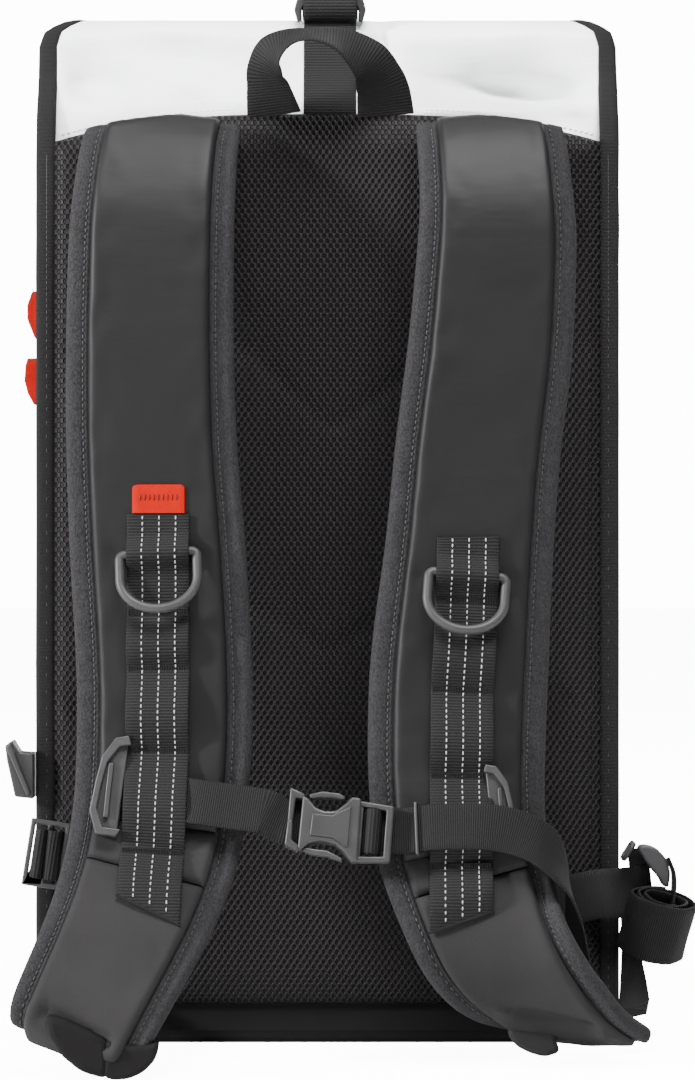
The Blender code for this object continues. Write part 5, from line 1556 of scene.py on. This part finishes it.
def build_closure():
    """The closure: webbing up the collar, the buckle on the crest and webbing down the front."""
    below, above = CLOSURE_ROWS
    points = [s[0] for s in shell_sections()][BODY_COUNT - below:BODY_COUNT + above]
    lift = GAP + WEB_THICK / 2 + 0.0006
    centres = [p - along.cross(X_AXIS).normalized() * lift + X_AXIS * CLOSURE_X
               for p, along in zip(points, ways(points))]
    band = finer(ribbon(centres, -X_AXIS, CLOSURE_WIDTH), WEB_STEP)
    adopt(tape("closure_tape", band, WEBBING, 0.0003), "webbing", "closure_strap")
    rounded("closure_socket", 0.0008, PLASTIC)
    rounded("closure_plug", 0.0007, PLASTIC)
    crest = Matrix.Translation(Vector((CLOSURE_X, -ROLL_LEAN - 0.0150, PACK_HEIGHT)))
    for name, sign in (("closure_prong_left", -1), ("closure_prong_right", 1)):
        prong = [(sign * x, z) for x, z in PRONG_OUTLINE]
        plate(name, crest, prong, -0.0030, 0.0050, 0.0008, PLASTIC)
    fold = [crest @ Vector((0, -0.0014 - 0.0040 * sin(a), 0.0052 - 0.0066 * cos(a)))
            for a in circle(12, pi) + [pi]]
    adopt(tape("closure_fold", ribbon(fold, X_AXIS, CLOSURE_WIDTH * 1.02), WEBBING), "webbing")
    points = [Vector((CLOSURE_X, y * HALF_DEPTH, z * PACK_HEIGHT))
              for y, z in smooth(CLOSURE_FRONT, 6)]
    band = ribbon(points, X_AXIS, CLOSURE_WIDTH * 0.8)
    adopt(tape("closure_front_tape", finer(band, WEB_STEP), WEBBING, 0.0004), "webbing",
          "closure_front_web")
    places, count = [], 12
    for row in range(5):
        centre, across, out, half = band.frame(len(points) - 1.5 - 0.8 * row)
        for k in range(count):
            x = (-1 + 2 * (k + 0.5) / count) * 0.84 * half[0]
            places.append((centre + across * x + out * (half[1] + 0.0002), across, out))
    adopt(stitches("closure_front_tack", places, 0.0014, 0.00035, DARK_THREAD), "webbing")


# Side and corner hardware

def leaning(side, place, lean):
    """The place of a piece of hip hardware, leaning in the plane of the panel."""
    return Matrix.Translation(hip_spot(side, *place)) @ Matrix.Rotation(lean, 4, "Y")


def edge_plate(name, side, place, outline, front, back, radius, material, node=None):
    """A plate whose outline is given from the pack's edge and the hardware's level."""
    sign = -1 if side == "left" else 1
    local = [((HALF_WIDTH + place[0] + x) * sign, z) for x, z in outline]
    seat = Matrix.Translation(Vector((0, PANEL_Y - place[2],
                                      HIP_LEVEL[side] * PACK_HEIGHT + place[1])))
    return plate(name, seat, local, front, back, radius, material, node)


def build_left_hardware():
    """The stowed slider with its web folded over the middle bar, and the hook above it."""
    place = leaning("left", SIDE_SLIDER, radians(9))
    rounded("side_slider_left", 0.0009, RING_PLASTIC)
    points = [place @ Vector((x, y, 0)) for x, y in smooth(SLIDER_FOLD, 4)]
    points += [hip_spot("left", *row) for row in smooth(SIDE_WEB_LEFT, 5)]
    up = (place.to_3x3() @ Z_AXIS).normalized()
    band = ribbon(points, eased(up, Z_AXIS, len(points)), HIP_WIDTH)
    adopt(tape("hip_web_left", band, WEBBING), "webbing", "side_web_left")
    edge_plate("tab_left", "left", SIDE_HOOK, SIDE_HOOK_OUTLINE, 0.0, 0.020, 0.0010, PLASTIC,
               "side_hook_left")
    edge_plate("tab_ridge", "left", SIDE_HOOK, SIDE_RIDGE_OUTLINE, -0.0024, 0.0010, 0.0009,
               RING_PLASTIC)


def build_right_hardware():
    """The stowed web on the right: its fin, its ring and the bundle that it is rolled into."""
    def hip_ribbon(rows, steps, across, width):
        return ribbon([hip_spot("right", *row) for row in smooth(rows, steps)], across, width)

    band = finer(hip_ribbon(SIDE_WEB_RIGHT, 6, Z_AXIS, HIP_WIDTH), WEB_STEP)
    adopt(tape("hip_web_right", band, DARK_WEBBING, 0.0004), "webbing", "side_web_right")
    edge_plate("fin", "right", SIDE_BUCKLE, SIDE_BUCKLE_OUTLINE, 0.0, 0.011, 0.0014,
               RING_PLASTIC, "side_buckle_right")
    rounded("side_ring_right", 0.0003, RING_PLASTIC, segments=2)
    place = leaning("right", SIDE_BUNDLE, radians(12)) @ Matrix.Rotation(radians(24), 4, "X")
    steps = int(BUNDLE_STEPS * BUNDLE_TURNS)
    points, widths = [], []
    for step in range(steps + 1):
        turn = step / BUNDLE_STEPS
        angle = 2 * pi * turn + pi / 2
        share = 1 - 0.50 * turn / BUNDLE_TURNS
        share *= 1 + 0.05 * noise.noise(Vector((cos(angle) * 2, sin(angle) * 2, turn)))
        points.append(place @ Vector((BUNDLE_HALF[0] * share * cos(angle),
                                      BUNDLE_HALF[1] * share * sin(angle), 0)))
        widths.append(BUNDLE_WIDTH * (1 + 0.03 * sin(angle * 1.7)))
    up = (place.to_3x3() @ Z_AXIS).normalized()
    band = Band(points, [up] * len(points), widths, [WEB_THICK * 1.2] * len(points))
    adopt(tape("web_bundle", band, DARK_WEBBING, 0.0012), "webbing", "web_roll_right")
    for name, band in (("ring_web", hip_ribbon(RING_WEB, 4, X_AXIS, 0.011)),
                       ("bundle_tail", hip_ribbon(BUNDLE_TAIL, 6, Y_AXIS, 0.016))):
        adopt(tape(name, band, DARK_WEBBING), "webbing")


def build_adjusters(straps):
    """The webs from under the strap ends back to the pack's bottom corners."""
    for side, table, end in (("left", ADJUSTER_LEFT, X_AXIS), ("right", ADJUSTER_RIGHT, -Y_AXIS)):
        strap = straps[side]
        last = len(strap.centres) - 1
        drop = ADJUSTER_DROP[side] + WEB_THICK / 2
        reach = ADJUSTER_OVERLAP * STRAP_STEPS / 2
        sewn = [last - reach * share for share in (1.0, 0.8, 0.6, 0.4, 0.2, 0.0)]
        points = [strap.under(position, ADJUSTER_SHIFT[side], drop) for position in sewn]
        across = [strap.frame(position)[1] for position in sewn]
        free = [spot(*row) for row in smooth(table, 6)]
        band = ribbon(points + free, across + eased(across[-1], end, len(free) + 1)[1:],
                      ADJUSTER_WIDTH)
        adopt(tape(f"corner_web_{side}", band, DARK_WEBBING), "webbing", f"adjuster_web_{side}")


def build_zip():
    """The side zip: its tape, its teeth and the two red pulls."""
    low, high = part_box("side_zip")
    x, y = (low.x + high.x) / 2, (low.y + high.y) / 2
    points = [Vector((x, y, low.z + (high.z - low.z) * k / 40)) for k in range(41)]
    band = ribbon(points, Y_AXIS, high.y - low.y, 0.0012)
    adopt(tape("zip_tape", band, BINDING), "black_fabric", "side_zip")
    teeth = [(Vector((low.x - 0.0001, y, low.z + 0.002 + ZIP_PITCH * k)), Y_AXIS, -X_AXIS)
             for k in range(int((high.z - low.z - 0.004) / ZIP_PITCH))]
    adopt(stitches("zip_teeth", teeth, 0.0036, 0.0006, PLASTIC), "black_fabric")
    for node in ("zip_pull_upper", "zip_pull_lower"):
        rounded(node, 0.0009, RED, "red_pull")


# Floor, light and camera

def area_light(name, place, aim, size, power):
    """A soft light that faces its aim."""
    light = bpy.data.lights.new(name, "AREA")
    light.shape = "RECTANGLE"
    light.size, light.size_y = size
    light.energy = power
    made = link_object(name, light)
    made.location = place
    made.rotation_euler = (Vector(aim) - Vector(place)).to_track_quat("-Z", "Y").to_euler()


def seen_level(tree, hidden, seen):
    """A strength that is higher where the camera looks straight at it."""
    ray = tree.nodes.new("ShaderNodeLightPath").outputs["Is Camera Ray"]
    level = tree.nodes.new("ShaderNodeMapRange")
    level.inputs["To Min"].default_value = hidden
    level.inputs["To Max"].default_value = seen
    tree.links.new(ray, level.inputs["Value"])
    return level.outputs[0]


def build_studio():
    """The white floor, the white surroundings and three soft lights."""
    bpy.ops.mesh.primitive_plane_add(size=24, location=(0, 0, 0))
    ground = bpy.context.object
    ground.name = "floor"
    pale = Finish("pale_floor", (0.93, 0.93, 0.93), 0.8, Emission_Color=(1, 1, 1, 1))
    pale.put(seen_level(pale.tree, 0.0, 11.5), pale.shader.inputs["Emission Strength"])
    ground.data.materials.append(pale.material)
    world = bpy.data.worlds.new("studio")
    bpy.context.scene.world = world
    world.use_nodes = True
    sky = world.node_tree.nodes["Background"]
    sky.inputs["Color"].default_value = (1.0, 1.0, 1.0, 1.0)
    world.node_tree.links.new(seen_level(world.node_tree, 0.42, 14.0), sky.inputs["Strength"])
    area_light("top_light", (0.15, -0.95, 2.00), (0, -0.08, 0.36), (1.2, 0.6), 118)
    area_light("key_light", (-2.6, -1.00, 1.15), (0, -0.09, 0.33), (0.32, 0.32), 250)
    area_light("back_light", (1.3, 2.1, 1.7), (0, 0, 0.3), (1.4, 1.4), 70)


def build_camera():
    """The camera at the photograph's angle, square on to the harness."""
    data = bpy.data.cameras.new("photo_camera")
    data.sensor_width = 36.0
    data.lens = 112.1
    data.clip_end = 60
    camera = link_object("photo_camera", data)
    camera.location = (0.0113, -1.99, 0.2853)
    camera.rotation_euler = (radians(90), 0, 0)
    bpy.context.scene.camera = camera


build_camera()
build_studio()
STRAPS = {"left": strap_band(STRAP_LEFT), "right": strap_band(STRAP_RIGHT)}
build_shell()
build_boot()
build_pad()
build_binding("left", -1)
build_binding("right", 1)
for side, strap in STRAPS.items():
    build_strap(side, strap)
build_strap_ends()
build_daisy("left", STRAPS["left"], DAISY_LEFT, LOOPS_LEFT)
build_daisy("right", STRAPS["right"], DAISY_RIGHT, LOOPS_RIGHT)
for side, strap in STRAPS.items():
    build_ring(side, strap)
build_tag(STRAPS["left"])
for side, strap in STRAPS.items():
    build_hook(side, strap)
build_sternum()
build_handle()
build_closure()
build_left_hardware()
build_right_hardware()
build_adjusters(STRAPS)
build_zip()
